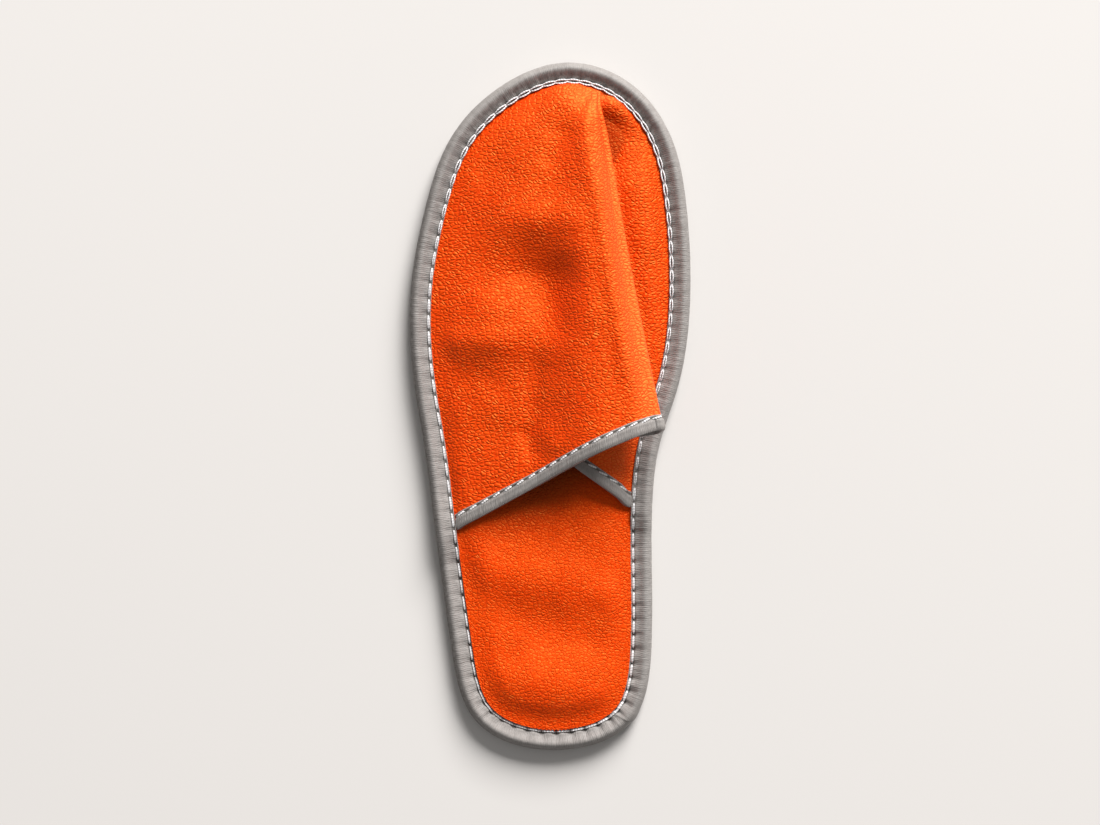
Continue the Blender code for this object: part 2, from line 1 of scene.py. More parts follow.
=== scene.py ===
"""Looks of the hotel slipper: grained fabric, folded tape with its stitches, padded insole and moulded tread.

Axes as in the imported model: +Y toe, +X medial side, +Z up. Working sizes are in millimetres.
"""

import bmesh
import bpy
import numpy as np
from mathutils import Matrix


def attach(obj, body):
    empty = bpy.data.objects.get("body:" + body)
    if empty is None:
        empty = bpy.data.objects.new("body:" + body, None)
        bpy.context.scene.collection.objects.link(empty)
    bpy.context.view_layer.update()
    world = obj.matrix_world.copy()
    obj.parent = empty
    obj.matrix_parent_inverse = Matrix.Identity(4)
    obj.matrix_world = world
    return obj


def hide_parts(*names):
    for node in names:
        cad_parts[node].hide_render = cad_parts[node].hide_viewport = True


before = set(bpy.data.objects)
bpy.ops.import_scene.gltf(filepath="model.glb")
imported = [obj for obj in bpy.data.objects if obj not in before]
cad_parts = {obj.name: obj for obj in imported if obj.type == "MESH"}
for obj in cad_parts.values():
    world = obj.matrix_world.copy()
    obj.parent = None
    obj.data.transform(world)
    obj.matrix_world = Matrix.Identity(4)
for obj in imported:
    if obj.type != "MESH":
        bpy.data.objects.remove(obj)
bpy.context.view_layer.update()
MM = 0.001
GAP = 0.3                     # between two neighbouring pieces

# ---- outline ------------------------------------------------------------------------------------
LENGTH = 285.0
HEEL_TIP_X = 2.5
TOE_TIP_X = 6.5
# section, share of the length from the heel, lateral edge x, medial edge x
LAST = (
    ("heel curve", 0.045, -31.6, 34.4),
    ("heel seat", 0.150, -41.2, 41.9),
    ("waist", 0.360, -49.3, 42.2),
    ("instep", 0.450, -52.7, 45.6),
    ("arch end", 0.520, -56.0, 52.1),
    ("ball", 0.670, -57.9, 58.0),
    ("joint", 0.790, -51.8, 56.4),
    ("toe root", 0.890, -41.4, 50.2),
    ("toe curve", 0.970, -18.6, 33.0),
)
OUTLINE_POINTS = 1440
LOOP_POINTS = 360             # points of a plain loop inside the outline
SIDE_STATIONS = 48            # stations down each side of the tread sheet

# ---- stack of layers, heights above the floor ---------------------------------------------------
SOLE_TOP = 3.6
INSOLE_BOTTOM = SOLE_TOP + GAP
INSOLE_RIM = 5.4
INSOLE_SEAM = 8.8
INSOLE_CROWN = 1.5            # padding above the sewn rim
PAD_SLOPE = 11.0              # distance over which the padding rises
WALL = 1.2                    # fabric of the upper
MARGIN = INSOLE_RIM + GAP + WALL / 2.0   # middle of the upper's sewn margin
MARGIN_INSET = 2.6            # cut edge of that margin
MARGIN_STEPS = 4
SEAM_INSET = 9.0              # where the upper leaves the binding
COLLAR_TAPE = 0.7             # thickness of the collar tape
COLLAR_LIFT = COLLAR_TAPE + GAP + 0.1    # room for it beside the margin
LIFT_START = 2.0              # behind the throat, where the flange starts to climb over the fabric
LIFT_FORWARD = 20.0
LIFT_BACK = 14.0

# ---- upper --------------------------------------------------------------------------------------
LEFT_THROAT_Y = -50.6         # cut edge of the fabric at the lateral seam
RIGHT_THROAT_Y = -41.2
APEX_X = 19.6                 # where the pleat runs into the toe seam
APEX_SPREAD = 9.0             # length of toe seam, to each side, that gathers the pleat
GATHER = 0.82                 # station from which the lines fan out to their places in that seam
STATIONS = (0.0, 0.25, 0.5, 0.75, 0.9, 0.96, 1.0)
# plan of the fold lines, x at each station between throat and toe seam
PATHS = (
    ("trough", -9.0, -8.0, -8.0, 0.0, 8.0, 13.5),
    ("mountain", 45.7, 38.6, 31.9, 25.8, 21.9, 20.2),
    ("valley", -8.5, -4.0, 0.5, 8.0, 19.0, 19.6),
)
# share of the gathered toe seam, lateral to medial, at which each line ends
SEAM_PLACES = (
    0.09, 0.18, 0.28, 0.37, 0.45, 0.50, 0.53, 0.56, 0.59, 0.61, 0.63, 0.67, 0.72, 0.82, 0.92)
# lengthwise lines of the fabric from the lateral to the medial seam:
# name, throat x, y and height above the margin, then heights at stations 1 to 5
LINES = (
    ("lateral rise", -36.0, -48.9, 2.4, 1.2, 1.2, 2.0, 2.8, 2.8),
    ("lateral crown", -29.0, -45.2, 4.2, 3.2, 3.3, 5.4, 6.0, 4.6),
    ("lateral slope", -19.0, -39.7, 6.6, 6.2, 7.3, 8.8, 8.2, 6.0),
    ("trough", -9.0, -34.2, 8.8, 9.2, 10.0, 10.8, 9.6, 7.0),
    ("crest", 26.5, -15.4, 21.6, 18.9, 17.0, 14.3, 10.9, 7.2),
    ("shoulder", 37.2, -11.2, 20.8, 17.9, 15.5, 12.6, 9.5, 6.7),
    ("mountain top", 43.5, -9.4, 18.6, 15.7, 12.7, 10.1, 7.8, 5.8),
    ("mountain", 45.7, -9.2, 16.6, 13.8, 10.9, 8.5, 6.4, 5.0),
    ("mountain under", 43.5, -10.9, 14.6, 11.9, 9.1, 6.9, 4.8, 3.4),
    ("middle layer", 17.0, -11.4, 14.8, 12.0, 9.0, 6.8, 4.0, 2.8),
    ("valley top", -6.5, -11.4, 6.6, 7.2, 6.0, 5.4, 3.2, 2.0),
    ("valley", -8.5, -11.8, 5.0, 5.6, 4.5, 3.9, 2.2, 1.6),
    ("valley under", -6.5, -13.8, 3.4, 4.0, 3.0, 2.6, 1.9, 2.1),
    ("medial web", 14.0, -27.4, 8.8, 7.4, 5.8, 4.4, 2.2, 3.4),
    ("medial rise", 27.8, -37.2, 4.8, 3.6, 2.8, 2.2, 1.5, 2.4),
)
# which folds or seams the lines between them follow
RAILS = (
    ("left", ("lateral rise", "lateral crown", "lateral slope"), "trough"),
    ("trough", ("crest", "shoulder"), "mountain"),
    ("valley", ("middle layer",), "mountain"),
    ("valley", ("medial web", "medial rise"), "right"),
)
THROAT_FADE = 8               # how soon the shape of the throat gives way to straight runs of fabric
OPEN_AT = -2.0                # lead of the mountain fold over the valley fold where the pleat is open
FOLDED_OVER = 9.0             # further lead that lays it fully in three layers
SEAM_RISE = 0.35              # slope of the fabric where it leaves the binding
FULLNESS = 1.12               # roundness of the curve between two lines
FOLD_DROOP = 0.25             # how far the upper face looks down as it runs into the mountain fold
VALLEY_TURN = 1.2             # how hard the lower face turns up out of the open valley
SPANS = (2, 3, 3, 3, 4, 3, 2, 3, 3, 2, 2, 3, 3, 3, 3, 2)   # columns of fabric between two lines
ROWS = (0.0, 0.02, 0.045, 0.08, 0.125, 0.175, 0.225, 0.275, 0.325, 0.375, 0.425, 0.475, 0.525,
        0.575, 0.625, 0.675, 0.725, 0.775, 0.82, 0.86, 0.893, 0.92, 0.945, 0.965, 0.983, 1.0)
FINE_COLUMNS = 4              # of each coarse column of fabric
FINE_ROWS = 7
# column coordinates: 0 at the lateral seam, then one to each line
TOP_LAYER = 7.0               # mountain fold's upper shoulder
FOLD_LINE = 8.0
LOW_LAYER = 12.0              # valley fold, from where the low layer shows
# broad ridges and troughs of the top layer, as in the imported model:
# name, centre x, centre y, half length across, half length along, turn in degrees, height
CREASES = (
    ("lateral ridge", -31.0, 26.0, 18.0, 6.5, -2.0, 2.6),
    ("lateral bulge", -28.0, 37.0, 15.0, 13.0, -12.0, 2.8),
    ("hollow front", -7.0, 53.0, 17.0, 11.0, -6.0, -3.4),
    ("hollow side", -1.0, 42.0, 6.5, 12.0, 0.0, -2.6),
    ("plateau", -8.0, 77.0, 17.0, 8.0, 0.0, 1.4),
)
CREASE_CALM = 12.0            # no crease nearer than this to the lateral seam
CREASE_THROAT = 0.1           # nor before this station
CREASE_EDGE = 1.5             # nor within this many lines of the end of the top layer
# relief of the top layer: name, from x, y, to x, y, bend to the left, half width, height
TOP_CREASES = (
    ("toe dimple", -31.0, 92.0, -14.0, 96.0, 2.0, 6.0, -0.6),
    ("toe crown dimple", -1.0, 98.0, 6.0, 116.0, 1.0, 4.5, -0.9),
    ("seam pucker", -7.0, 118.0, -3.0, 130.0, 0.0, 2.6, -0.5),
    ("apex pucker", 7.0, 124.0, 9.0, 131.0, 0.0, 1.8, -0.5),
    ("dent floor", -16.0, 57.0, 12.0, 51.0, 2.0, 8.0, -0.7),
    ("dent brow", -12.0, 77.0, 17.0, 73.0, 3.0, 8.5, 0.9),
    ("east foot", 3.0, 62.0, 4.0, 26.0, 1.0, 5.5, -1.0),
    ("east bank", 15.5, 70.0, 18.0, 30.0, 0.0, 5.5, 1.0),
    ("fold ridge", 13.0, 124.0, 35.5, 0.0, -0.8, 4.6, 1.9),
    ("instep run", -6.0, -18.0, -5.0, 24.0, 1.5, 5.0, -1.0),
    ("lateral ease", -40.0, 19.0, -16.0, 15.0, 0.0, 5.0, 0.6),
    ("throat pit", -6.0, -23.0, -12.0, -8.0, 0.0, 3.4, -1.1),
    ("throat swell", 2.5, -19.0, -3.0, -7.0, 0.0, 3.8, 0.8),
    ("waist roll", -42.0, -8.0, -22.0, 4.0, 2.0, 8.0, 0.7),
)
# and of the low layer
LOW_CREASES = (
    ("medial roll", 36.0, 106.0, 42.0, 60.0, 1.5, 4.5, 0.9),
    ("pocket", 22.5, 127.0, 27.5, 98.0, 0.0, 4.5, -0.8),
    ("fold foot", 21.2, 124.0, 45.0, 0.0, -0.3, 3.6, -1.4),
)
CREASE_END = 0.35             # share of a crease over which each end fades
CREASE_LEAD = 0.3             # how much of it is left at the very end
RELIEF_LEFT = 10.0            # distance from the lateral seam over which the relief grows
RELIEF_RIGHT = 8.0
RELIEF_TOE = 0.1              # stations from the toe seam over which it grows
# unevenness of the cloth: length across, length along, seed, height
UNEVEN = ((17.0, 13.0, 11, 0.25), (7.0, 5.0, 12, 0.10))
UNEVEN_START = 40.0
FOLD_PRESS = 0.5              # how far the fold is pressed to an edge, as a share of the fall beside it
FOLD_REACH = 0.7              # lines over which it is pressed
# cloth coordinates are true to x at this column of the top layer and of the low one
TRUE_COLUMNS = (3.6, 14.0)
# painted highlight and painted shade of the upper
FOLD_BACK = 8.6               # column where the fabric has turned to the fold's underside
BROW_WIDTH = 11.0             # strip of painted highlight along the fold's brow, where the fabric is taut
BROW_END = 118.0              # y up to which its painted highlight is full, the fade before it and the share left beyond
BROW_FADE = 30.0
BROW_LEFT = 0.45
BAND_START = 123.5            # painted highlight on the gathered fabric at the toe seam, which also clears the painted shade there: y, fade, middle x, half width, strength
BAND_FADE = 4.5
BAND_X = 23.0
BAND_WIDTH = 12.0
BAND_HIGHLIGHT = 0.8
TIP_START = 2.0               # y behind which the low layer, in the fold's shadow, gets a little painted highlight and is a little taut, its fade and strength
TIP_FADE = 10.0
TIP_HIGHLIGHT = 0.4
FOOT_WIDTH = 3.8              # strip of painted shade on the low layer beside the fold
FOOT_SHADE = 0.25             # strength of that painted shade away from the pocket
FOOT_FADE = 14.0
POCKET_Y = 116.0              # pocket under the fold's far end, where the painted shade is wider and full
POCKET_LENGTH = 13.0
POCKET_SPREAD = 1.7


# ---- curves -------------------------------------------------------------------------------------
def slopes(knots, values, closed=False):
    """Derivatives of the smooth cubic through the values; natural ends unless closed."""
    count = len(values)
    matrix = np.zeros((count, count))
    right = np.zeros_like(values)
    step = np.diff(knots)
    for i in range(count):
        if closed or 0 < i < count - 1:
            before, after = step[(i - 1) % len(step)], step[i % len(step)]
            last, following = values[i - 1], values[(i + 1) % count]
            matrix[i, i - 1] += after
            matrix[i, i] += 2.0 * (before + after)
            matrix[i, (i + 1) % count] += before
            rise = after * (values[i] - last) / before + before * (following - values[i]) / after
            right[i] = 3.0 * rise
        else:
            j = 1 if i == 0 else count - 2
            matrix[i, i] = 2.0
            matrix[i, j] = 1.0
            right[i] = 3.0 * (values[j] - values[i]) / (knots[j] - knots[i])
    return np.linalg.solve(matrix, right)


def hermite(t, start, start_slope, end, end_slope):
    """Cubic between two values, t from 0 to 1."""
    rest = 1.0 - t
    return ((1.0 + 2.0 * t) * rest ** 2 * start + t * rest ** 2 * start_slope
            + t * t * (3.0 - 2.0 * t) * end + t * t * (t - 1.0) * end_slope)


def spline(knots, values, at):
    """Smooth cubic through the values at the knots, read at one place or many."""
    knots, values = np.asarray(knots, float), np.asarray(values, float)
    slope = slopes(knots, values)
    i = np.clip(np.searchsorted(knots, at, side="right") - 1, 0, len(knots) - 2)
    step = knots[i + 1] - knots[i]
    return hermite((at - knots[i]) / step, values[i], step * slope[i], values[i + 1], step * slope[i + 1])


def smooth(value):
    """0 below 0, 1 above 1, with a soft start and end in between."""
    value = np.clip(value, 0.0, 1.0)
    return value * value * (3.0 - 2.0 * value)


def bump_of(distance, width):
    """1 on a line, 0 a few widths away."""
    return np.exp(-(distance / width) ** 2)


def unit(vectors):
    return vectors / np.maximum(np.linalg.norm(vectors, axis=-1, keepdims=True), 1e-9)


def square_to(vectors, along):
    """Unit vectors square to others, as near as can be to the given ones."""
    return unit(vectors - along * np.sum(vectors * along, axis=-1, keepdims=True))


def read(at, knots, points):
    """Points of a line read by straight steps, at one place or many."""
    return np.stack([np.interp(at, knots, values) for values in np.transpose(points)], axis=-1)


def run_of(points):
    """Running length along a line, from 0."""
    return np.concatenate([[0.0], np.cumsum(np.linalg.norm(np.diff(points, axis=0), axis=1))])


def nearest(values, wanted):
    return np.argmin(np.abs(values - wanted))


def mound(row, x, y):
    """A broad ridge or trough: its height at the centre, 0 well away from it."""
    _, centre_x, centre_y, half_across, half_along, turn, height = row
    angle = np.radians(turn)
    across = (x - centre_x) * np.cos(angle) + (y - centre_y) * np.sin(angle)
    along = (y - centre_y) * np.cos(angle) - (x - centre_x) * np.sin(angle)
    return height * np.exp(-(across / half_across) ** 2 - (along / half_along) ** 2)


def crease(row, x, y):
    """Soft ridge or trough along a gently bent line, fading at both ends."""
    _, x0, y0, x1, y1, bend, width, height = row
    run = np.array([x1 - x0, y1 - y0])
    length = np.linalg.norm(run)
    run = run / length
    along = ((x - x0) * run[0] + (y - y0) * run[1]) / length
    across = (y - y0) * run[0] - (x - x0) * run[1]
    curve = bend * 4.0 * along * (1.0 - along)
    ends = smooth(along / CREASE_END + CREASE_LEAD) * smooth((1.0 - along) / CREASE_END + CREASE_LEAD)
    return height * ends * bump_of(across - curve, width)


def noise(x, y, seed, period=None):
    """Smooth value noise of two coordinates, -1 to 1; period repeats it along x."""
    values = np.random.default_rng(seed).uniform(-1.0, 1.0, (256, 256))
    x, y = np.broadcast_arrays(np.asarray(x, float), np.asarray(y, float))
    wrap = period or 256
    x0, y0 = np.floor(x).astype(int), np.floor(y).astype(int)
    fx, fy = smooth(x - x0), smooth(y - y0)

    def value(i, j):
        return values[(i % wrap) % 256, j % 256]
    low = value(x0, y0) * (1.0 - fx) + value(x0 + 1, y0) * fx
    high = value(x0, y0 + 1) * (1.0 - fx) + value(x0 + 1, y0 + 1) * fx
    return low * (1.0 - fy) + high * fy


# ---- outline of the last ------------------------------------------------------------------------
def make_outline():
    """Closed outline from the heel tip up the medial side: points, outward normals, arc shares, length."""
    medial = [(right, (share - 0.5) * LENGTH) for _, share, _, right in LAST]
    lateral = [(left, (share - 0.5) * LENGTH) for _, share, left, _ in reversed(LAST)]
    keys = np.array([(HEEL_TIP_X, -LENGTH / 2.0), *medial, (TOE_TIP_X, LENGTH / 2.0), *lateral])
    knots = run_of(np.vstack([keys, keys[:1]]))
    slope = slopes(knots, keys, closed=True)
    at = np.linspace(0.0, knots[-1], OUTLINE_POINTS, endpoint=False)
    i = np.searchsorted(knots, at, side="right") - 1
    j = (i + 1) % len(keys)
    step = (knots[i + 1] - knots[i])[:, None]
    points = hermite((at - knots[i])[:, None] / step, keys[i], step * slope[i], keys[j], step * slope[j])
    tangent = unit(np.roll(points, -1, axis=0) - np.roll(points, 1, axis=0))
    normals = np.stack([tangent[:, 1], -tangent[:, 0]], axis=1)
    points, normals = (np.vstack([ring, ring[:1]]) for ring in (points, normals))
    arc = run_of(points)
    return points, normals, arc / arc[-1], arc[-1]


OUTLINE, OUTWARD, ARC, PERIMETER = make_outline()
TOE_SHARE = ARC[np.argmax(OUTLINE[:, 1])]


def edge(share, inset):
    """Plan points at arc shares of the outline, moved inwards."""
    share = np.asarray(share, float) % 1.0
    return read(share, ARC, OUTLINE) - np.asarray(inset, float)[..., None] * unit(read(share, ARC, OUTWARD))


def loop_at(inset):
    """Plain closed loop inside the outline."""
    return edge(np.linspace(0.0, 1.0, LOOP_POINTS, endpoint=False), inset)


def share_where(axis, value, start, end):
    """Arc share between two shares where the seam line crosses a value of x (axis 0) or y (axis 1)."""
    low, high = start, end
    side = edge(low, SEAM_INSET)[axis] > value
    for _ in range(50):
        middle = 0.5 * (low + high)
        if (edge(middle, SEAM_INSET)[axis] > value) == side:
            low = middle
        else:
            high = middle
    return 0.5 * (low + high)


HEEL_ZONE = 0.03              # part of the outline taken up by the curve of the heel
TOE_ZONE = 0.12               # and by half the curve of the toe
LEFT_THROAT = share_where(1, LEFT_THROAT_Y, 1.0 - HEEL_ZONE, TOE_SHARE + TOE_ZONE)
RIGHT_THROAT = share_where(1, RIGHT_THROAT_Y, HEEL_ZONE, TOE_SHARE - TOE_ZONE)
APEX = share_where(0, APEX_X, TOE_SHARE - 0.5 * TOE_ZONE, TOE_SHARE)
APEX_LEFT = APEX + APEX_SPREAD / PERIMETER
APEX_RIGHT = APEX - APEX_SPREAD / PERIMETER


def ahead_of_throat(share):
    """Distance along the outline in front of the nearer end of the throat."""
    return np.minimum(share - RIGHT_THROAT, LEFT_THROAT - share) * PERIMETER


def throat_lift(share):
    """Extra height of the seam where the throat tape ends in it, 0 to 1."""
    ahead = ahead_of_throat(share)
    return 1.0 - smooth(np.where(ahead >= 0.0, ahead / LIFT_FORWARD, -ahead / LIFT_BACK))


def flange_height(share):
    """Underside of the binding's top flange."""
    sewn = smooth(1.0 + (ahead_of_throat(share) + LIFT_START) / LIFT_BACK)
    return INSOLE_RIM + GAP + sewn * (WALL + GAP) + COLLAR_LIFT * throat_lift(share)


# ---- sections of the upper ----------------------------------------------------------------------
def seam_point(share, inset):
    """Points in the middle of the upper's sewn margin."""
    plan = edge(share, inset)
    height = np.broadcast_to(MARGIN + COLLAR_LIFT * throat_lift(share), plan.shape[:-1])
    return np.concatenate([plan, height[..., None]], axis=-1)


def seam_shares(v):
    """Arc shares of the lateral and the medial seam at a station."""
    left = LEFT_THROAT + (APEX_LEFT - LEFT_THROAT) * v
    right = RIGHT_THROAT + (APEX_RIGHT - RIGHT_THROAT) * v
    return left, right


LINE = {row[0]: row for row in LINES}
FOLD_X = {name: places for name, *places in PATHS}


def toe_place(name):
    """Plan point where a line meets the toe seam."""
    share = SEAM_PLACES[list(LINE).index(name)]
    return edge(APEX_LEFT + (APEX_RIGHT - APEX_LEFT) * share, SEAM_INSET)


def fold_path(name, v):
    """Plan point of a fold line, v from 0 at the throat to 1 at the toe seam."""
    start_y, end = LINE[name][2], toe_place(name)
    return np.array([spline(STATIONS, [*FOLD_X[name], end[0]], v), start_y + (end[1] - start_y) * v])


def line_height(name, v):
    return spline(STATIONS, [*LINE[name][3:], 0.0], v)


def side_of(fold, v):
    """Level direction square to a fold line, pointing to the medial side."""
    step = 0.01
    run = unit(fold_path(fold, min(v + step, 1.0)) - fold_path(fold, max(v - step, 0.0)))
    return np.array([run[1], -run[0], 0.0])


def rail_points(v):
    """Plan points of the folds and the two seams."""
    left, right = (edge(share, SEAM_INSET) for share in seam_shares(v))
    return dict({name: fold_path(name, v) for name in FOLD_X}, left=left, right=right)


THROAT = rail_points(0.0)


def plan_points(v):
    """Plan place of every line at one station: the folds on their paths, the rest in between them."""
    rails = rail_points(v)
    points = dict(rails)
    fade = (1.0 - v) ** THROAT_FADE
    for near, names, far in RAILS:
        reach = THROAT[far] - THROAT[near]
        for name in names:
            place = np.array(LINE[name][1:3]) - THROAT[near]
            share = np.dot(place, reach) / np.dot(reach, reach)
            beside = (place - reach * share) * fade
            points[name] = rails[near] + (rails[far] - rails[near]) * share + beside
    for fold, sign in (("mountain", -1.0), ("valley", 1.0)):
        side, throat_side = (side_of(fold, at)[:2] for at in (v, 0.0))
        radius = abs(line_height(fold + " top", v) - line_height(fold, v))
        throat_radius = abs(LINE[fold + " top"][3] - LINE[fold][3])
        for part in (fold + " top", fold + " under"):
            shift = np.array(LINE[part][1:3]) - THROAT[fold] - sign * throat_radius * throat_side
            points[part] = rails[fold] + sign * radius * side + shift * fade
    # near the toe seam the pleat opens out and its middle layer turns into a plain slope
    folded = folded_share(rails)
    slope = rails["valley"] - rails["mountain"]
    for name, share in (("mountain under", 0.25), ("middle layer", 0.5), ("valley top", 0.75)):
        points[name] = folded * points[name] + (1.0 - folded) * (rails["mountain"] + slope * share)
    return points


def folded_share(plan):
    """1 where the pleat lies in three layers, 0 where it has opened out near the toe seam."""
    return smooth((plan["mountain"][0] - plan["valley"][0] - OPEN_AT) / FOLDED_OVER)


TOE_POINTS = plan_points(1.0)


def section_keys(v):
    """Points of the fabric across the foot at one station, from the lateral seam to the medial seam."""
    plan = plan_points(v)
    gather = smooth((v - GATHER) / (1.0 - GATHER))
    left, right = (seam_point(share, SEAM_INSET) for share in seam_shares(v))
    keys = [left]
    for name in LINE:
        place = plan[name] + (toe_place(name) - TOE_POINTS[name]) * gather
        keys.append([*place, MARGIN + line_height(name, v)])
    return np.array([*keys, right]), folded_share(plan), gather ** 2


def section_tangents(v, keys, folded, gather):
    """Unit directions of the fabric at those points."""
    steps = np.diff(keys, axis=0)
    reach = np.linalg.norm(steps, axis=1)[:, None]
    tangents = np.zeros_like(keys)
    tangents[1:-1] = unit(unit(steps[:-1]) * reach[1:] + unit(steps[1:]) * reach[:-1])
    left, right = seam_shares(v)
    leaving = np.array([*(edge(left, SEAM_INSET + 1.0) - keys[0][:2]), SEAM_RISE])
    landing = np.array([*(keys[-1][:2] - edge(right, SEAM_INSET + 1.0)), -SEAM_RISE])
    tangents[0] = unit(unit(leaving) * (1.0 - gather) + unit(steps[0]) * gather)
    tangents[-1] = unit(unit(landing) * (1.0 - gather) + unit(steps[-1]) * gather)
    place = {name: i + 1 for i, name in enumerate(LINE)}
    down = np.array([0.0, 0.0, -1.0])
    spread = unit(keys[place["valley"]] - keys[place["mountain"]])
    mountain, valley = (side_of(fold, v) for fold in ("mountain", "valley"))
    # direction where the pleat lies folded, and where it has opened out
    fixed = {
        "mountain top": (mountain + FOLD_DROOP * down, mountain + FOLD_DROOP * down),
        "mountain": (down, spread),
        "mountain under": (-mountain, spread),
        "valley top": (-valley, spread),
        "valley": (down, spread + VALLEY_TURN * valley),
        "valley under": (valley, valley),
    }
    for name, (when_folded, when_open) in fixed.items():
        shaped = unit(folded * unit(when_folded) + (1.0 - folded) * unit(when_open))
        tangents[place[name]] = unit(shaped * (1.0 - gather) + tangents[place[name]] * gather)
    return tangents


def section_points(v, u):
    """Points across the fabric at station v, at many column coordinates."""
    keys, folded, gather = section_keys(v)
    tangents = section_tangents(v, keys, folded, gather)
    i = np.clip(np.floor(u).astype(int), 0, len(keys) - 2)
    pull = (FULLNESS * np.linalg.norm(np.diff(keys, axis=0), axis=1)[i])[:, None]
    points = hermite((u - i)[:, None], keys[i], pull * tangents[i], keys[i + 1], pull * tangents[i + 1])
    calm = smooth(np.linalg.norm(points - keys[0], axis=1) / CREASE_CALM)
    calm *= smooth((TOP_LAYER - u) / CREASE_EDGE) * smooth(v / CREASE_THROAT)
    points[:, 2] += calm * sum(mound(row, points[:, 0], points[:, 1]) for row in CREASES)
    return points


def relief(points, u, v):
    """Extra height of the fabric: listed creases over a little unevenness of the cloth."""
    x, y = points[..., 0], points[..., 1]
    calm = smooth(np.linalg.norm(points - points[:, :1], axis=-1) / RELIEF_LEFT)
    calm = calm * smooth(np.linalg.norm(points - points[:, -1:], axis=-1) / RELIEF_RIGHT)
    calm = calm * smooth((1.0 - v) / RELIEF_TOE)
    top = smooth((TOP_LAYER - u) / CREASE_EDGE)
    low = smooth(u - LOW_LAYER)
    rise = top * sum(crease(row, x, y) for row in TOP_CREASES)
    rise = rise + low * sum(crease(row, x, y) for row in LOW_CREASES)
    for across, along, seed, height in UNEVEN:
        rise = rise + height * noise(x / across + UNEVEN_START, y / along + UNEVEN_START, seed) * (top + low)
    return rise * calm


def sheet_points(stations, places):
    """Middle surface of the fabric at the given stations and column coordinates."""
    grid = np.array([section_points(v, places) for v in stations])
    drop = grid[:, nearest(places, TOP_LAYER), 2] - grid[:, nearest(places, FOLD_LINE), 2]
    grid[..., 2] += FOLD_PRESS * drop[:, None] * bump_of(places - FOLD_LINE, FOLD_REACH)
    grid[..., 2] += relief(grid, places[None, :], np.asarray(stations)[:, None])
    return grid


def fine(values, count):
    """Values with count steps between each two of the given ones."""
    at = np.linspace(0.0, len(values) - 1.0, (len(values) - 1) * count + 1)
    return np.interp(at, np.arange(len(values)), values)


def fabric_columns(count):
    """Column coordinates from seam to seam, count steps to each coarse column of the fabric."""
    coarse = [i + k / steps for i, steps in enumerate(SPANS) for k in range(steps)]
    return fine([*coarse, float(len(SPANS))], count)


# ---- meshes -------------------------------------------------------------------------------------
def grid_faces(rows, width, wrap_rows=False, wrap_columns=False, flip=False):
    """Point numbers of a grid's faces, and the row and column of each of their corners."""
    row = np.arange(rows if wrap_rows else rows - 1)
    column = np.arange(width if wrap_columns else width - 1)
    rr, cc = np.meshgrid(row, column, indexing="ij")
    corners = [(rr, cc), (rr, cc + 1), (rr + 1, cc + 1), (rr + 1, cc)]
    if flip:
        corners.reverse()
    faces = np.stack([(r % rows) * width + c % width for r, c in corners], axis=-1)
    return faces.reshape(-1, 4), corners


def grid_piece(name, grids, uv, looks, **form):
    """Smooth mesh over one grid of points or a stack of them, in millimetres; uv carries weave and grain."""
    grids = grids.reshape(-1, *grids.shape[-3:])
    uv = uv.reshape(-1, *uv.shape[-3:])
    count, rows, width = grids.shape[:3]
    faces, corners = grid_faces(rows, width, **form)
    faces = faces + (np.arange(count) * rows * width)[:, None, None]
    corner_uv = np.stack([uv[:, r, c] for r, c in corners], axis=-2)
    return mesh_piece(name, grids.reshape(-1, 3), faces.reshape(-1, 4), corner_uv, looks)


def mesh_piece(name, points, faces, corner_uv, looks):
    """Smooth mesh; points in millimetres, and uv in millimetres for each corner of each face."""
    mesh = bpy.data.meshes.new(name)
    mesh.from_pydata((points * MM).tolist(), [], faces.tolist())
    layer = mesh.uv_layers.new(name="cloth")
    layer.data.foreach_set("uv", np.asarray(corner_uv, np.float32).ravel())
    for look in looks:
        mesh.materials.append(look)
    mesh.shade_smooth()
    return add_object(name, mesh)


def add_object(name, data):
    made = bpy.data.objects.new(name, data)
    bpy.context.scene.collection.objects.link(made)
    return made


def thicken(piece, name, thickness, offset, inner_look=0):
    """Gives a sheet its real thickness."""
    wall = piece.modifiers.new(name, "SOLIDIFY")
    wall.thickness = thickness * MM
    wall.offset = offset
    wall.material_offset = inner_look


def paint(piece, name, values):
    """Keeps a value from 0 to 1 on every point, for the look to read."""
    layer = piece.data.attributes.new(name, "FLOAT", "POINT")
    layer.data.foreach_set("value", np.asarray(values, np.float32).ravel())


def place(piece, material_slot, *nodes):
    """Rides a piece on the shoe and hides the imported nodes that it stands for."""
    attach(piece, "root")
    if nodes:
        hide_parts(*nodes)


def lengths(grid, axis):
    """Running length along an axis of a grid of points."""
    step = np.linalg.norm(np.diff(grid, axis=axis), axis=-1)
    start = np.zeros_like(np.take(step, [0], axis=axis))
    return np.concatenate([start, np.cumsum(step, axis=axis)], axis=axis)


def grid_normals(grid, closed=False):
    """Unit normals of a grid of points."""
    def slope(axis):
        if closed:
            return np.roll(grid, -1, axis=axis) - np.roll(grid, 1, axis=axis)
        return np.gradient(grid, axis=axis)
    return unit(np.cross(slope(1), slope(0)))


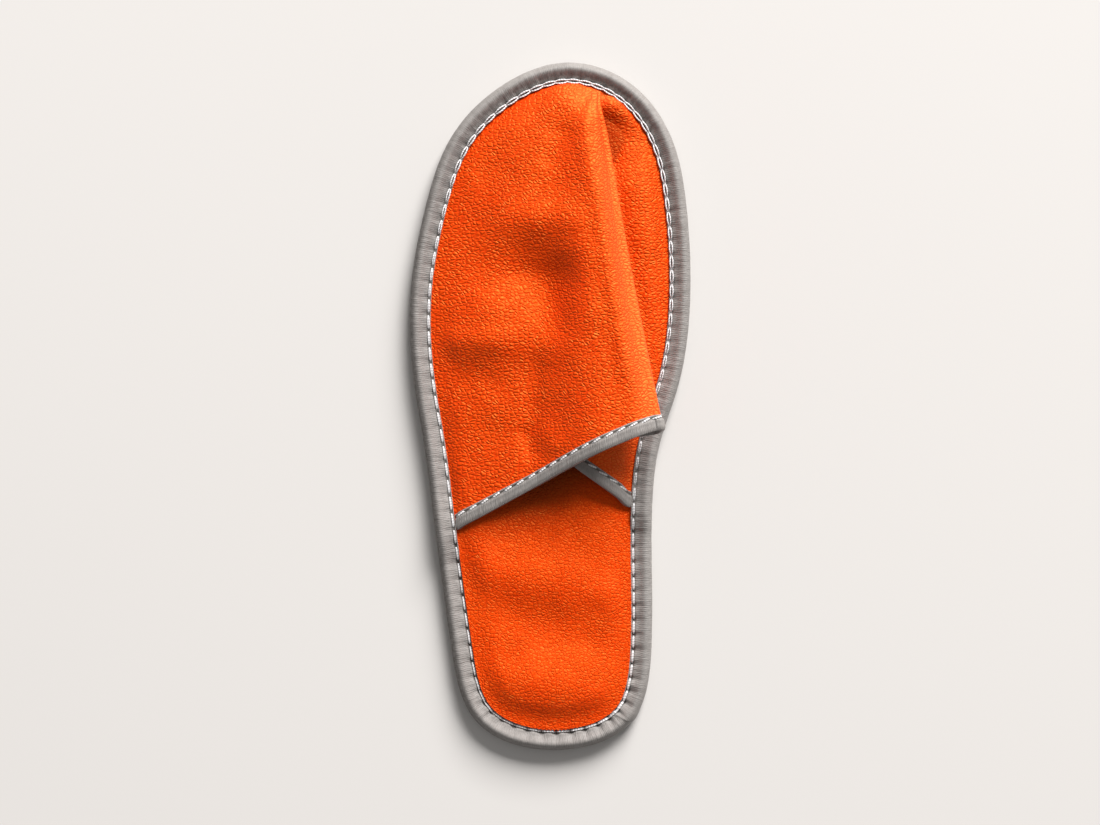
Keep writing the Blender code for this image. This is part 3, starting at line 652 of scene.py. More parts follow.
# ---- upper --------------------------------------------------------------------------------------
def build_upper(fabric, lining):
    """Fabric from cut edge to cut edge: the sheet, its margins under the binding and its toe seam."""
    places = fabric_columns(FINE_COLUMNS)
    stations = fine(ROWS, FINE_ROWS)
    insets = np.linspace(MARGIN_INSET, SEAM_INSET, MARGIN_STEPS, endpoint=False)
    left, right = (shares[:, None] for shares in seam_shares(stations))
    sheet = sheet_points(stations, places)
    rows = np.concatenate([seam_point(left, insets), sheet, seam_point(right, insets[::-1])], axis=1)
    seams = np.array([0.0, *SEAM_PLACES, 1.0])
    shares = np.interp(places, np.arange(len(seams)), APEX_LEFT + (APEX_RIGHT - APEX_LEFT) * seams)
    toe = [np.concatenate([seam_point(APEX_LEFT, np.minimum(inset, insets)), seam_point(shares, inset),
                           seam_point(APEX_RIGHT, np.minimum(inset, insets[::-1]))])
           for inset in insets[::-1]]
    grid = np.concatenate([rows, toe])
    column = np.pad(places, MARGIN_STEPS, mode="edge")
    piece = grid_piece("upper_fabric", grid, upper_cloth(grid, column), [fabric, lining])
    paint_upper(piece, grid, column)
    thicken(piece, "wall", WALL, 0.0, 1)
    place(piece, "upper_fabric", "upper")


def upper_cloth(grid, column):
    """Cloth coordinates: length of fabric across the foot, true to x at one column of each layer, and y."""
    arc = lengths(grid[..., [0, 2]], 1)
    across = arc.copy()
    over = column <= FOLD_LINE
    for layer, true_column in zip((over, ~over), TRUE_COLUMNS):
        anchor = nearest(column, true_column)
        across[:, layer] += (grid[:, anchor, 0] - arc[:, anchor])[:, None]
    return np.stack([across, grid[..., 1]], axis=-1)


def paint_upper(piece, grid, column):
    """Fabric paler by painted highlight along the fold's brow, at the toe seam and behind the throat, where
    its grain is also flattened as taut; darker by painted shade where the fold lies over it.
    """
    x, y = grid[..., 0], grid[..., 1]
    beside = grid[:, [nearest(column, FOLD_LINE)], 0] - x       # distance to the lateral side of the fold
    over = column[None, :] < FOLD_BACK
    # painted highlight on the brow, the toe seam band and the shadowed low layer behind the throat
    band = smooth((y - BAND_START) / BAND_FADE) * bump_of(x - BAND_X, BAND_WIDTH)
    brow = BROW_LEFT + (1.0 - BROW_LEFT) * smooth((BROW_END - y) / BROW_FADE)
    brow = over * smooth(1.0 - np.abs(beside) / BROW_WIDTH) * brow
    tip = TIP_HIGHLIGHT * (1.0 - over) * smooth((TIP_START - y) / TIP_FADE)
    paint(piece, "taut_painted_highlight", np.clip(np.maximum(brow, BAND_HIGHLIGHT * band) + tip, 0.0, 1.0))
    # painted shade on the low layer beside the fold, wider and stronger at the pocket
    pocket = bump_of(y - POCKET_Y, POCKET_LENGTH)
    painted_shade = (1.0 - over) * bump_of(np.minimum(beside, 0.0), FOOT_WIDTH * (1.0 + POCKET_SPREAD * pocket))
    painted_shade = painted_shade * (FOOT_SHADE + (1.0 - FOOT_SHADE) * pocket) * smooth(y / FOOT_FADE)
    paint(piece, "painted_shade", painted_shade * (1.0 - band))


# ---- insole -------------------------------------------------------------------------------------
PAD_ROWS = 300
PAD_COLUMNS = 96
ROW_CROWDING = 0.25           # how much closer together the points lie at the rim
COLUMN_CROWDING = 0.3
# padding waves of the insole:
# name, centre x, centre y, half length across, half length along, turn in degrees, height
WAVES = (
    ("instep roll", -3.0, -71.0, 34.0, 10.0, -13.0, 3.2),
    ("heel hollow", -3.0, -90.0, 30.0, 9.0, -13.0, -1.0),
    ("heel roll", -1.0, -115.0, 24.0, 11.0, -3.0, 2.6),
)
# relief of the insole, laid out like the creases of the upper
PAD_CREASES = (
    ("instep ease", -30.0, -64.0, 24.0, -77.0, 0.0, 9.0, -1.1),
    ("heel edge", -24.0, -124.0, 20.0, -128.0, -4.0, 6.0, -0.5),
)
PAD_UNEVEN = (9.0, 7.0, 21, 0.18)    # as for the upper's cloth
PAD_UNEVEN_START = 60.0
MOUTH_MIDDLE = 4.0            # x where the collar's painted shadow on the insole is strongest
MOUTH_SPREAD = 30.0
MOUTH_REACH = 25.0            # how far behind the collar its painted shadow runs out
MOUTH_POINTS = 60


def mouth_line():
    """Plan of the collar's top edge, from the lateral side to the fold."""
    rim = sheet_points([0.0], np.linspace(0.0, FOLD_LINE, MOUTH_POINTS))[0]
    return rim[:, 0], rim[:, 1]


def crowded(count, pull):
    """Places from 0 to 1 that lie closer together towards both ends."""
    t = np.linspace(0.0, 1.0, count)
    return 0.5 - 0.5 * np.cos(np.pi * t) * (1.0 - pull * np.sin(np.pi * t) ** 2)


def build_insole(fabric):
    """Padded fabric over a foam board, sewn down under the binding."""
    half = crowded(PAD_ROWS, ROW_CROWDING)
    right = edge(TOE_SHARE * half, INSOLE_SEAM)[:, None, :]
    left = edge(1.0 + (TOE_SHARE - 1.0) * half, INSOLE_SEAM)[:, None, :]
    plan = right + (left - right) * crowded(PAD_COLUMNS, COLUMN_CROWDING)[None, :, None]
    near = np.min(np.linalg.norm(plan[:, :, None, :] - loop_at(INSOLE_SEAM), axis=-1), axis=2)
    x, y = plan[..., 0], plan[..., 1]
    across, along, seed, uneven = PAD_UNEVEN
    height = INSOLE_CROWN + sum(mound(row, x, y) for row in WAVES)
    height = height + uneven * noise(x / across + PAD_UNEVEN_START, y / along + PAD_UNEVEN_START, seed)
    height = height + sum(crease(row, x, y) for row in PAD_CREASES)
    top = np.dstack([x, y, INSOLE_RIM + smooth(near / PAD_SLOPE) * height])
    piece = grid_piece("insole_pad", top, plan, [fabric])
    # painted shadow of the collar on the insole, strongest under its middle
    behind = np.interp(x, *mouth_line()) - y
    paint(piece, "painted_shade", bump_of(x - MOUTH_MIDDLE, MOUTH_SPREAD) * smooth(1.0 - behind / MOUTH_REACH))
    thicken(piece, "board", INSOLE_RIM - INSOLE_BOTTOM, -1.0)
    place(piece, "insole_fabric", "insole")


# ---- stitches -----------------------------------------------------------------------------------
STRAND_RINGS = 9
STRAND_SIDES = 7
STRAND_END = 0.65             # thickness of a strand at its ends, as a share of its middle
STRAND_DIVE = 1.5             # depth to which the ends dive, in radii
STRAND_UV = 20.0              # keeps the two strands' ply apart
THREAD_FLOOR = 0.04           # stitches are pressed flat where the shoe stands on them


def build_stitches(name, centres, along, up, length, radius, spread, bow, look, material_slot):
    """Two-ply thread: each stitch is a pair of strands that part in the middle and dive at both ends."""
    t = np.linspace(-1.0, 1.0, STRAND_RINGS)
    angle = np.linspace(0.0, 2.0 * np.pi, STRAND_SIDES, endpoint=False)[:, None]
    # axes of the arrays: stitch, strand, ring, side of the ring, coordinate
    length, radius, spread, bow = (values[:, None, None] for values in (length, radius, spread, bow))
    centres, along, up = (vectors[:, None, None] for vectors in (centres, along, up))
    across = np.cross(along, up)
    strand = np.array([-1.0, 1.0])[None, :, None]
    side = strand * (spread * np.cos(0.5 * np.pi * t) ** 0.8 + 0.5 * radius)
    rise = bow * (1.0 - t ** 2) - STRAND_DIVE * radius * np.abs(t) ** 5
    axis = (centres + (0.5 * length * t)[..., None] * along + side[..., None] * across
            + rise[..., None] * up)
    round_t = np.sqrt(np.maximum(1.0 - t ** 2, 0.0))
    thick = (radius * (STRAND_END + (1.0 - STRAND_END) * round_t))[..., None, None]
    spokes = np.cos(angle) * across[..., None, :] + np.sin(angle) * up[..., None, :]
    rings = axis[..., None, :] + thick * spokes
    rings[..., 2] = np.maximum(rings[..., 2], THREAD_FLOOR)
    shape = (*rings.shape[:3], STRAND_SIDES + 1)
    turned = np.linspace(0.0, 2.0 * np.pi, STRAND_SIDES + 1)
    run = (t * length * 0.5 + strand * STRAND_UV)[..., None]
    uv = np.stack([np.broadcast_to(run, shape), np.broadcast_to(turned * radius[..., None], shape)], axis=-1)
    piece = grid_piece(name, rings, uv, [look], wrap_columns=True)
    place(piece, material_slot)


# ---- sole binding -------------------------------------------------------------------------------
STITCH_STEPS = 14             # stations of tape to one stitch
PITCH_READINGS = 4001
# pitch of the stitches: name, share of the outline from the heel tip up the medial side, pitch
STITCH_PITCH = (
    ("heel", 0.0, 6.9),
    ("medial side", 0.12, 6.1),
    ("medial toe", 0.42, 6.2),
    ("toe", 0.5, 6.4),
    ("lateral toe", 0.6, 6.9),
    ("lateral side", 0.85, 7.0),
    ("heel again", 1.0, 6.9),
)
# look of the thread round the shoe:
# name, share of the outline, length, radius, spread, bow, shift from the groove to the lip, depth of its pull
THREAD = (
    ("heel", 0.0, 5.7, 0.27, 0.00, 0.06, 0.35, 0.95),
    ("heel join", 0.045, 5.2, 0.30, 0.10, 0.16, 0.20, 1.20),
    ("medial heel", 0.10, 5.2, 0.25, 0.08, 0.12, 0.00, 0.60),
    ("medial side", 0.18, 5.3, 0.23, 0.14, 0.18, 0.00, 0.35),
    ("medial ball", 0.33, 5.8, 0.31, 0.44, 0.34, 0.25, 0.40),
    ("toe", 0.5, 6.2, 0.35, 0.56, 0.42, 0.35, 0.40),
    ("lateral toe", 0.6, 6.0, 0.33, 0.44, 0.34, 0.35, 0.45),
    ("lateral ball", 0.66, 5.6, 0.27, 0.18, 0.20, 0.30, 0.50),
    ("lateral side", 0.86, 5.7, 0.24, 0.04, 0.10, 0.20, 0.45),
    ("heel again", 1.0, 5.7, 0.27, 0.00, 0.06, 0.35, 0.95),
)
# section of the tape: name, inset, height, 1 = from the flange, 0 = from the floor, pull of the stitches,
# steps of the mesh to the next line
FINE_TAPE = (
    ("lip root", 8.75, 0.05, 1, 0.0, 1),
    ("lip edge", 8.85, 0.36, 1, 0.0, 2),
    ("lip crest", 8.5, 0.58, 1, 0.4, 2),
    ("lip back", 8.1, 0.40, 1, 0.8, 2),
    ("groove", 7.7, 0.10, 1, 1.0, 2),
    ("groove back", 7.2, 0.52, 1, 1.0, 3),
    ("roll foot", 6.2, 0.90, 1, 0.7, 4),
    ("roll back", 4.5, 1.62, 1, 0.35, 4),
    ("roll crest", 2.7, 2.15, 1, 0.12, 3),
    ("roll shoulder", 1.6, 1.60, 1, 0.05, 3),
    ("upper roll", 0.8, 0.42, 1, 0.0, 2),
    ("upper side", 0.3, -0.9, 1, 0.0, 2),
    ("side", 0.0, -2.4, 1, 0.0, 2),
    ("lower side", 0.4, 2.5, 0, 0.0, 2),
    ("lower roll", 1.6, 0.95, 0, 0.0, 2),
    ("foot", 3.2, 0.15, 0, 0.1, 2),
    ("foot crest", 4.6, 0.02, 0, 0.2, 2),
    ("foot back", 5.9, 0.25, 0, 0.5, 2),
    ("lower groove", 7.0, 0.85, 0, 1.0, 2),
    ("lower lip", 7.9, 0.35, 0, 0.3, 2),
    ("lower lip edge", 8.7, 0.6, 0, 0.0, 1),
    ("lower lip root", 8.75, 1.0, 0, 0.0, 1),
)
TAPE_LINE = {row[0]: i for i, row in enumerate(FINE_TAPE)}
TYPICAL_FLANGE = 7.2
JOIN_SHARE = 0.044            # where the two ends of the tape meet, at the medial side of the heel
JOIN_STEP = 0.5               # height of the step there, its slant, and how it rises and fades along the tape
JOIN_SLANT = 0.35
JOIN_RISE = 0.7
JOIN_END = 9.0
JOIN_FADE = 8.0
THREAD_LIFT = 0.6             # height of a stitch over the groove, in radii of its strands
TAPE_CLEAR = 0.12             # least height of the tape's inner half over the fabric it holds
HELD_INSET = 6.0              # where that half starts
COVER_FADE = 0.01             # share of the outline over which the upper comes in under the tape
COVER_LEAD = 1.3              # and how far ahead of its seams it does, in such shares
COVER_DROP = 1.3              # room for the tape to sink where no fabric lies under it
# puckers: length along, length across, start, seed, height, further height beside the stitches, closed ring
PUCKERS = ((2.0, 9.0, 3.0, 31, 0.05, 0.12, True), (0.9, 6.0, 9.0, 32, 0.02, 0.05, False))
# painted shade on the tape
GROOVE_SHADE_INSET = 7.75             # groove of the stitches
GROOVE_SHADE_WIDTH = 0.45
TOE_SHADE = 0.75               # painted shade on the inner half at the toe: strength, middle and half length in shares, inset, fade
TOE_SHADE_SHARE = 0.47
TOE_SHADE_LENGTH = 0.17
TOE_SHADE_INSET = 2.2
TOE_SHADE_FADE = 3.5
SIDE_SHADE = 0.85              # painted shade on the outer edge at the lateral side: strength, inset, half width
SIDE_SHADE_INSET = 0.3
SIDE_SHADE_WIDTH = 1.3
# how it comes and goes along the outline: share where it starts to change, fade, strength gained
SIDE_SHADE_RUNS = ((0.55, 0.1, 1.0), (0.92, 0.05, -0.6), (0.06, -0.03, 0.4))


def along_outline(shares, table, column):
    """A column of a table read at many shares of the outline."""
    return np.interp(shares, [row[1] for row in table], [row[column] for row in table])


def stitch_shares():
    """Arc shares of the stations round the shoe, STITCH_STEPS to a stitch, and the number of stitches."""
    share = np.linspace(0.0, 1.0, PITCH_READINGS)
    pitch = along_outline(share, STITCH_PITCH, 2)
    count = np.concatenate([[0.0], np.cumsum(PERIMETER * np.diff(share) / pitch[1:])])
    total = int(round(count[-1]))
    return np.interp(np.arange(total * STITCH_STEPS) / STITCH_STEPS, count * total / count[-1], share), total


def between_holes(turns):
    """0 at a needle hole, 1 between two."""
    return 0.5 - 0.5 * np.cos(2.0 * np.pi * turns)


def tape_section():
    """Places along the tape's section, the section's length, and its inset, height, datum and pull there."""
    _, inset, height, datum, pull, steps = zip(*FINE_TAPE)
    knots = run_of(np.column_stack([inset, np.add(height, TYPICAL_FLANGE * np.array(datum))]))
    at = np.concatenate([*(np.linspace(knots[k], knots[k + 1], steps[k], endpoint=False)
                           for k in range(len(knots) - 1)), knots[-1:]])
    inset, height, pull = (spline(knots, values, at) for values in (inset, height, pull))
    return knots, at, inset, height, np.interp(at, knots, datum), pull


def build_sole_tape(look, thread):
    """Tape folded round the edge of the sole, pulled in at every stitch."""
    shares, total = stitch_shares()
    knots, at, inset, height, datum, pull = tape_section()
    flange = flange_height(shares)
    grid = np.dstack([edge(shares[:, None], inset), height + flange[:, None] * datum])
    normal = grid_normals(grid, closed=True)
    away = edge(shares, -1.0) - edge(shares, 0.0)
    outer = normal[:, np.argmin(inset), :2]
    normal = normal * np.sign(np.sum(outer * away, axis=1))[:, None, None]
    grid = grid + normal * tape_push(shares, at, pull)[..., None]
    seams = seam_shares(0.0)
    covered = smooth((shares - min(seams)) / COVER_FADE + COVER_LEAD)
    covered = covered * smooth((max(seams) - shares) / COVER_FADE + COVER_LEAD)
    lowest = flange - (1.0 - covered) * COVER_DROP + TAPE_CLEAR
    held = (datum == 1.0) & (inset > HELD_INSET)
    grid[:, held, 2] = np.maximum(grid[:, held, 2], lowest[:, None])
    grid[..., 2] = np.maximum(grid[..., 2], 0.0)
    arc, across = [*(shares * PERIMETER), PERIMETER], [*at, at[-1] + 1.0]
    uv = np.stack(np.meshgrid(arc, across, indexing="ij"), axis=-1)
    piece = grid_piece("sole_tape", grid, uv, [look], wrap_rows=True, wrap_columns=True, flip=True)
    above = at < knots[TAPE_LINE["side"]]
    # painted shade in the stitch groove, on the toe's inner half and at the lateral outer edge
    paint(piece, "tape_painted_shade", tape_shade(shares[:, None], inset, above))
    place(piece, "sole_tape", "sole_binding")
    sole_stitches(shares, total, grid, normal, thread)


def tape_push(shares, at, pull):
    """How far the tape stands out: stitches pull it in, it puckers beside them and steps up at its join."""
    depth = along_outline(shares, THREAD, 7)
    hole = 1.0 - between_holes(np.arange(len(shares)) / STITCH_STEPS)
    arc = (shares * PERIMETER)[:, None]
    push = -pull * (depth * hole ** 2)[:, None]
    for along, across, start, seed, height, beside, closed in PUCKERS:
        period = int(round(PERIMETER / along)) if closed else None
        push = push + (height + beside * pull) * noise(arc / along, at / across + start, seed, period)
    lap = arc - JOIN_SHARE * PERIMETER - JOIN_SLANT * at
    return push + JOIN_STEP * smooth(lap / JOIN_RISE) * smooth((JOIN_END - lap) / JOIN_FADE)


def tape_shade(shares, inset, above):
    """Painted shade of the tape, 0 to 1: its groove, its inner half at the toe and its outer edge at the
    side.
    """
    toe = TOE_SHADE * bump_of(shares - TOE_SHADE_SHARE, TOE_SHADE_LENGTH)
    toe = toe * smooth((inset - TOE_SHADE_INSET) / TOE_SHADE_FADE)
    side = sum(strength * smooth((shares - start) / fade) for start, fade, strength in SIDE_SHADE_RUNS)
    side = SIDE_SHADE * side * bump_of(inset - SIDE_SHADE_INSET, SIDE_SHADE_WIDTH) * above
    return np.maximum(np.maximum(bump_of(inset - GROOVE_SHADE_INSET, GROOVE_SHADE_WIDTH), toe), side)


def sole_stitches(shares, total, grid, normal, thread):
    """Stitches above and below, each midway between two needle holes."""
    rows = np.arange(total) * STITCH_STEPS + STITCH_STEPS // 2
    reach = STITCH_STEPS // 3
    length, radius, spread, bow, shift = (along_outline(shares[rows], THREAD, k) for k in range(2, 7))
    for name, line, lip in (("top", "groove", "lip crest"), ("under", "lower groove", "lower lip")):
        k, k_lip = (sum(row[5] for row in FINE_TAPE[:TAPE_LINE[part]]) for part in (line, lip))
        surface = grid[rows, k] + (grid[rows, k_lip] - grid[rows, k]) * shift[:, None]
        along = unit(grid[(rows + reach) % len(shares), k] - grid[(rows - reach) % len(shares), k])
        up = square_to(normal[rows, k], along)
        build_stitches("stitches_" + name, surface + up * (THREAD_LIFT * radius)[:, None], along, up,
                       length, radius, spread, bow, thread, "sole_tape")


# ---- collar tape --------------------------------------------------------------------------------
COLLAR_COLUMNS = 10           # stations of tape to each coarse column of fabric
COLLAR_END = 0.15             # part of the fabric's first column left free at the lateral seam
COLLAR_TUCK = 0.02            # the medial end of the tape runs on to the sole tape
COLLAR_REACH = 0.075          # stations of the fabric that the tape covers
COLLAR_ROWS = 16
INWARD_ROW = 2                # row from which the cloth's run behind its cut edge is taken
# section of the collar tape: name, distance in from the cut edge, height over the cloth, pull
FINE_COLLAR = (
    ("lip root", 5.8, 0.02, 0.0),
    ("lip edge", 5.95, 0.3, 0.0),
    ("lip crest", 5.5, 0.60, 0.2),
    ("groove", 4.8, 0.34, 1.0),
    ("groove back", 4.1, 0.80, 0.8),
    ("crest", 2.4, 0.95, 0.2),
    ("shoulder", 0.7, 0.86, 0.0),
    ("nose", -0.55, 0.35, 0.0),
)
COLLAR_POINTS = 26            # of that section
COLLAR_GROOVE = FINE_COLLAR[3][1]
COLLAR_SUNK = 0.22            # depth to which a stitch pulls the groove
# puckers: length along, length across, start along, start across, seed, height, more by the stitches
COLLAR_PUCKERS = (1.6, 5.0, 20.0, 50.0, 41, 0.03, 0.07)
COLLAR_PITCH = 5.5
# stitches: length, radius, spread, bow, height over the groove, slant in degrees
COLLAR_THREAD = (4.1, 0.25, 0.02, 0.18, 0.26, 11.0)
# painted shade along the collar tape's stitch groove
COLLAR_SHADE_INSET = 4.75
COLLAR_SHADE_WIDTH = 0.5


def build_collar_tape(look, thread):
    """Tape folded over the throat edge of the fabric, following the pleat."""
    places = fabric_columns(COLLAR_COLUMNS)
    places = places[(places > COLLAR_END) & (places < places[-1] - COLLAR_TUCK)]
    sheet = sheet_points(np.linspace(0.0, COLLAR_REACH, COLLAR_ROWS), places)
    normal = grid_normals(sheet)
    rim = sheet[0]
    arc = run_of(rim)
    inward = square_to(sheet[INWARD_ROW] - rim, unit(np.gradient(rim, axis=0)))
    _, inset, lift, pull = zip(*FINE_COLLAR)
    knots = run_of(np.column_stack([inset, lift]))
    at = np.linspace(0.0, knots[-1], COLLAR_POINTS)
    inset, lift, pull = (spline(knots, values, at) for values in (inset, lift, pull))
    # axes of the arrays: line of the tape's section, station along it, coordinate
    reach = lengths(sheet, 0)
    spot, out = (np.array([rowwise(reach, values, max(i, 0.0)) for i in inset]) for values in (sheet, normal))
    spot = spot + inward * np.minimum(inset, 0.0)[:, None, None]
    along, across, start_along, start_across, seed, height, beside = COLLAR_PUCKERS
    inset, lift, pull, line = (values[:, None] for values in (inset, lift, pull, at))
    sunk = COLLAR_SUNK * pull * (1.0 - between_holes(arc / COLLAR_PITCH)) ** 2
    faces = []
    for sign in (1.0, -1.0):
        pucker = noise(arc / along + start_along, line / across + start_across * sign, seed)
        rise = WALL / 2.0 + lift + (height + beside * pull) * pucker - sunk
        faces.append(spot + sign * out * rise[..., None])
    grid = np.concatenate([faces[0], faces[1][::-1]]).transpose(1, 0, 2)
    run = [*at, *(2.0 * at[-1] - at[::-1] + COLLAR_TAPE), 2.0 * at[-1] + 2.0]
    uv = np.stack(np.meshgrid([*arc, arc[-1] + 1.0], run, indexing="ij"), axis=-1)
    piece = grid_piece("collar_tape", grid, uv, [look], wrap_columns=True)
    # painted shade along the stitch groove
    tape_painted_shade = bump_of(inset[:, 0] - COLLAR_SHADE_INSET, COLLAR_SHADE_WIDTH)
    paint(piece, "tape_painted_shade", np.tile([*tape_painted_shade, *tape_painted_shade[::-1]], len(grid)))
    close_ends(piece, *grid.shape[:2])
    place(piece, "collar_tape", "collar_binding")
    groove = nearest_line(inset[:, 0], COLLAR_GROOVE)
    for name, line, sign in (("over", faces[0][groove], 1.0), ("inside", faces[1][groove], -1.0)):
        collar_stitches("collar_stitches_" + name, arc, line, sign * normal[INWARD_ROW], sign, thread)


def nearest_line(insets, wanted):
    """Number of the section's line at an inset, on its outward run."""
    return int(round(np.interp(wanted, insets[::-1], np.arange(len(insets))[::-1])))


def collar_stitches(name, arc, line, normals, sign, thread):
    """One row of slanted stitches along the collar tape."""
    length, radius, spread, bow, lift, slant = COLLAR_THREAD
    where = (np.arange(int(arc[-1] / COLLAR_PITCH)) + 0.5) * COLLAR_PITCH
    centre = read(where, arc, line)
    along = unit(read(where + 1.0, arc, line) - centre)
    up = square_to(read(where, arc, normals), along)
    turn = np.radians(slant) * sign
    along = along * np.cos(turn) + np.cross(up, along) * np.sin(turn)
    length, radius, spread, bow = (np.full(len(where), size) for size in (length, radius, spread, bow))
    build_stitches(name, centre + up * lift, along, up, length, radius, spread, bow, thread, "collar_tape")


def rowwise(knots, values, at):
    """Points read down each column of a grid, at one distance from its first row."""
    i = np.clip(np.sum(knots <= at, axis=0) - 1, 0, len(knots) - 2)
    column = np.arange(knots.shape[1])
    low, high = knots[i, column], knots[i + 1, column]
    t = ((at - low) / np.maximum(high - low, 1e-9))[:, None]
    return values[i, column] * (1.0 - t) + values[i + 1, column] * t


def close_ends(piece, rows, width):
    """Caps both ends of a tube made from a grid."""
    work = bmesh.new()
    work.from_mesh(piece.data)
    work.verts.ensure_lookup_table()
    for row, order in ((0, 1), (rows - 1, -1)):
        work.faces.new([work.verts[row * width + c] for c in range(width)][::order])
    bmesh.ops.recalc_face_normals(work, faces=work.faces)
    work.to_mesh(piece.data)
    work.free()


# ---- tread --------------------------------------------------------------------------------------
TREAD_INSET = 9.0
TREAD_FLOOR = 0.7             # depth of the grooves
BAND = 11.6                   # width of one column of ribs
BAND_GAP = 0.35               # between a column's edge and its ribs
RIB_PITCH = 4.6
RIB_SHARE = 0.58              # of the pitch
RIB_TURN = 26.0
RIB_BEND = 0.5
RIB_CHAMFER = 0.35
RIB_SUNK = 0.02               # into the sheet
RIB_STEPS = 6
RIB_MARGIN = 0.8              # between the ribs and the edge of the sheet
RIB_SPARE = 10.0              # length beyond the loop in which ribs are tried
RIB_READINGS = 41             # places along a rib that are tried, and the least of them to keep
RIB_LEAST = 8
RIB_ENDS = ((0, 5, 4, 1), (1, 4, 3, 2))    # faces that close a rib's first section


def build_tread_sheet(look):
    """Flat sheet at the depth of the grooves."""
    outline = bpy.data.curves.new("tread_sheet", "CURVE")
    outline.dimensions = "2D"
    outline.fill_mode = "BOTH"
    outline.extrude = 0.5 * (SOLE_TOP - TREAD_FLOOR) * MM
    up = np.linspace(0.0, TOE_SHARE, SIDE_STATIONS, endpoint=False)
    down = np.linspace(TOE_SHARE, 1.0, SIDE_STATIONS, endpoint=False)
    points = edge([*up, *down], TREAD_INSET) * MM
    loop = outline.splines.new("POLY")
    loop.points.add(len(points) - 1)
    flat = np.column_stack([points, np.zeros(len(points)), np.ones(len(points))])
    loop.points.foreach_set("co", flat.ravel())
    loop.use_cyclic_u = True
    drawn = bpy.data.objects.new("tread_outline", outline)
    mesh = bpy.data.meshes.new_from_object(drawn)
    bpy.data.objects.remove(drawn)
    mesh.name = "tread_sheet"
    mesh.materials.clear()
    mesh.materials.append(look)
    sheet = add_object("tread_sheet", mesh)
    sheet.location.z = 0.5 * (SOLE_TOP + TREAD_FLOOR) * MM
    place(sheet, "tread", "outsole")


def inside(points, loop):
    """Which plan points lie within a closed loop."""
    x, y = points[:, 0][:, None], points[:, 1][:, None]
    ax, ay = loop[:, 0][None], loop[:, 1][None]
    bx, by = np.roll(loop[:, 0], -1)[None], np.roll(loop[:, 1], -1)[None]
    crosses = (ay > y) != (by > y)
    at = ax + (y - ay) * (bx - ax) / np.where(by == ay, 1e-9, by - ay)
    return np.sum(crosses & (x < at), axis=1) % 2 == 1


def rib_line(x0, x1, y, sign, t):
    """Middle line of a rib across its column."""
    x = x0 + (x1 - x0) * t
    slant = np.tan(np.radians(RIB_TURN)) * (x - 0.5 * (x0 + x1)) + RIB_BEND * np.sin(np.pi * t)
    return np.column_stack([x, y + sign * slant])


def rib_sections(line, half):
    """Sections of one chamfered rib, its worn top on the floor."""
    ends = np.zeros(RIB_STEPS)
    ends[0], ends[-1] = RIB_CHAMFER, -RIB_CHAMFER
    root, inner = TREAD_FLOOR + RIB_SUNK, half - RIB_CHAMFER
    # across the rib, height, 1 on its top
    section = ((-half, root, 0.0), (-half, RIB_CHAMFER, 0.0), (-inner, 0.0, 1.0),
               (inner, 0.0, 1.0), (half, RIB_CHAMFER, 0.0), (half, root, 0.0))
    return [[(x + end * top, y + across, height) for across, height, top in section]
            for (x, y), end in zip(line, ends)]


def build_ribs(look):
    """Herringbone: columns of slanted ribs along the sole, every second column mirrored."""
    loop = loop_at(TREAD_INSET + RIB_MARGIN)
    low, high = loop.min(axis=0), loop.max(axis=0)
    half = 0.5 * RIB_PITCH * RIB_SHARE
    bands = int(np.ceil((high[0] - low[0]) / BAND))
    start = 0.5 * (low[0] + high[0]) - 0.5 * bands * BAND
    t = np.linspace(0.0, 1.0, RIB_READINGS)
    ribs = []
    for band in range(bands):
        x0 = start + band * BAND + BAND_GAP
        x1 = start + (band + 1) * BAND - BAND_GAP
        sign = 1.0 if band % 2 else -1.0
        for k in range(int((high[1] - low[1] + 2.0 * RIB_SPARE) / RIB_PITCH)):
            y = low[1] - RIB_SPARE + k * RIB_PITCH
            line = rib_line(x0, x1, y, sign, t)
            kept = t[inside(line + [0.0, half], loop) & inside(line - [0.0, half], loop)]
            if len(kept) >= RIB_LEAST:
                at = np.linspace(kept.min(), kept.max(), RIB_STEPS)
                ribs.append(rib_sections(rib_line(x0, x1, y, sign, at), half))
    ribs = np.array(ribs)
    sides = ribs.shape[2]
    faces, _ = grid_faces(RIB_STEPS, sides)
    last = np.array(RIB_ENDS)[:, [0, 3, 2, 1]] + (RIB_STEPS - 1) * sides
    faces = np.concatenate([faces, RIB_ENDS, last])
    faces = (faces + (np.arange(len(ribs)) * RIB_STEPS * sides)[:, None, None]).reshape(-1, 4)
    points = ribs.reshape(-1, 3)
    piece = mesh_piece("tread_ribs", points, faces, points[faces][..., :2], [look])
    piece.data.shade_flat()
    place(piece, "tread")


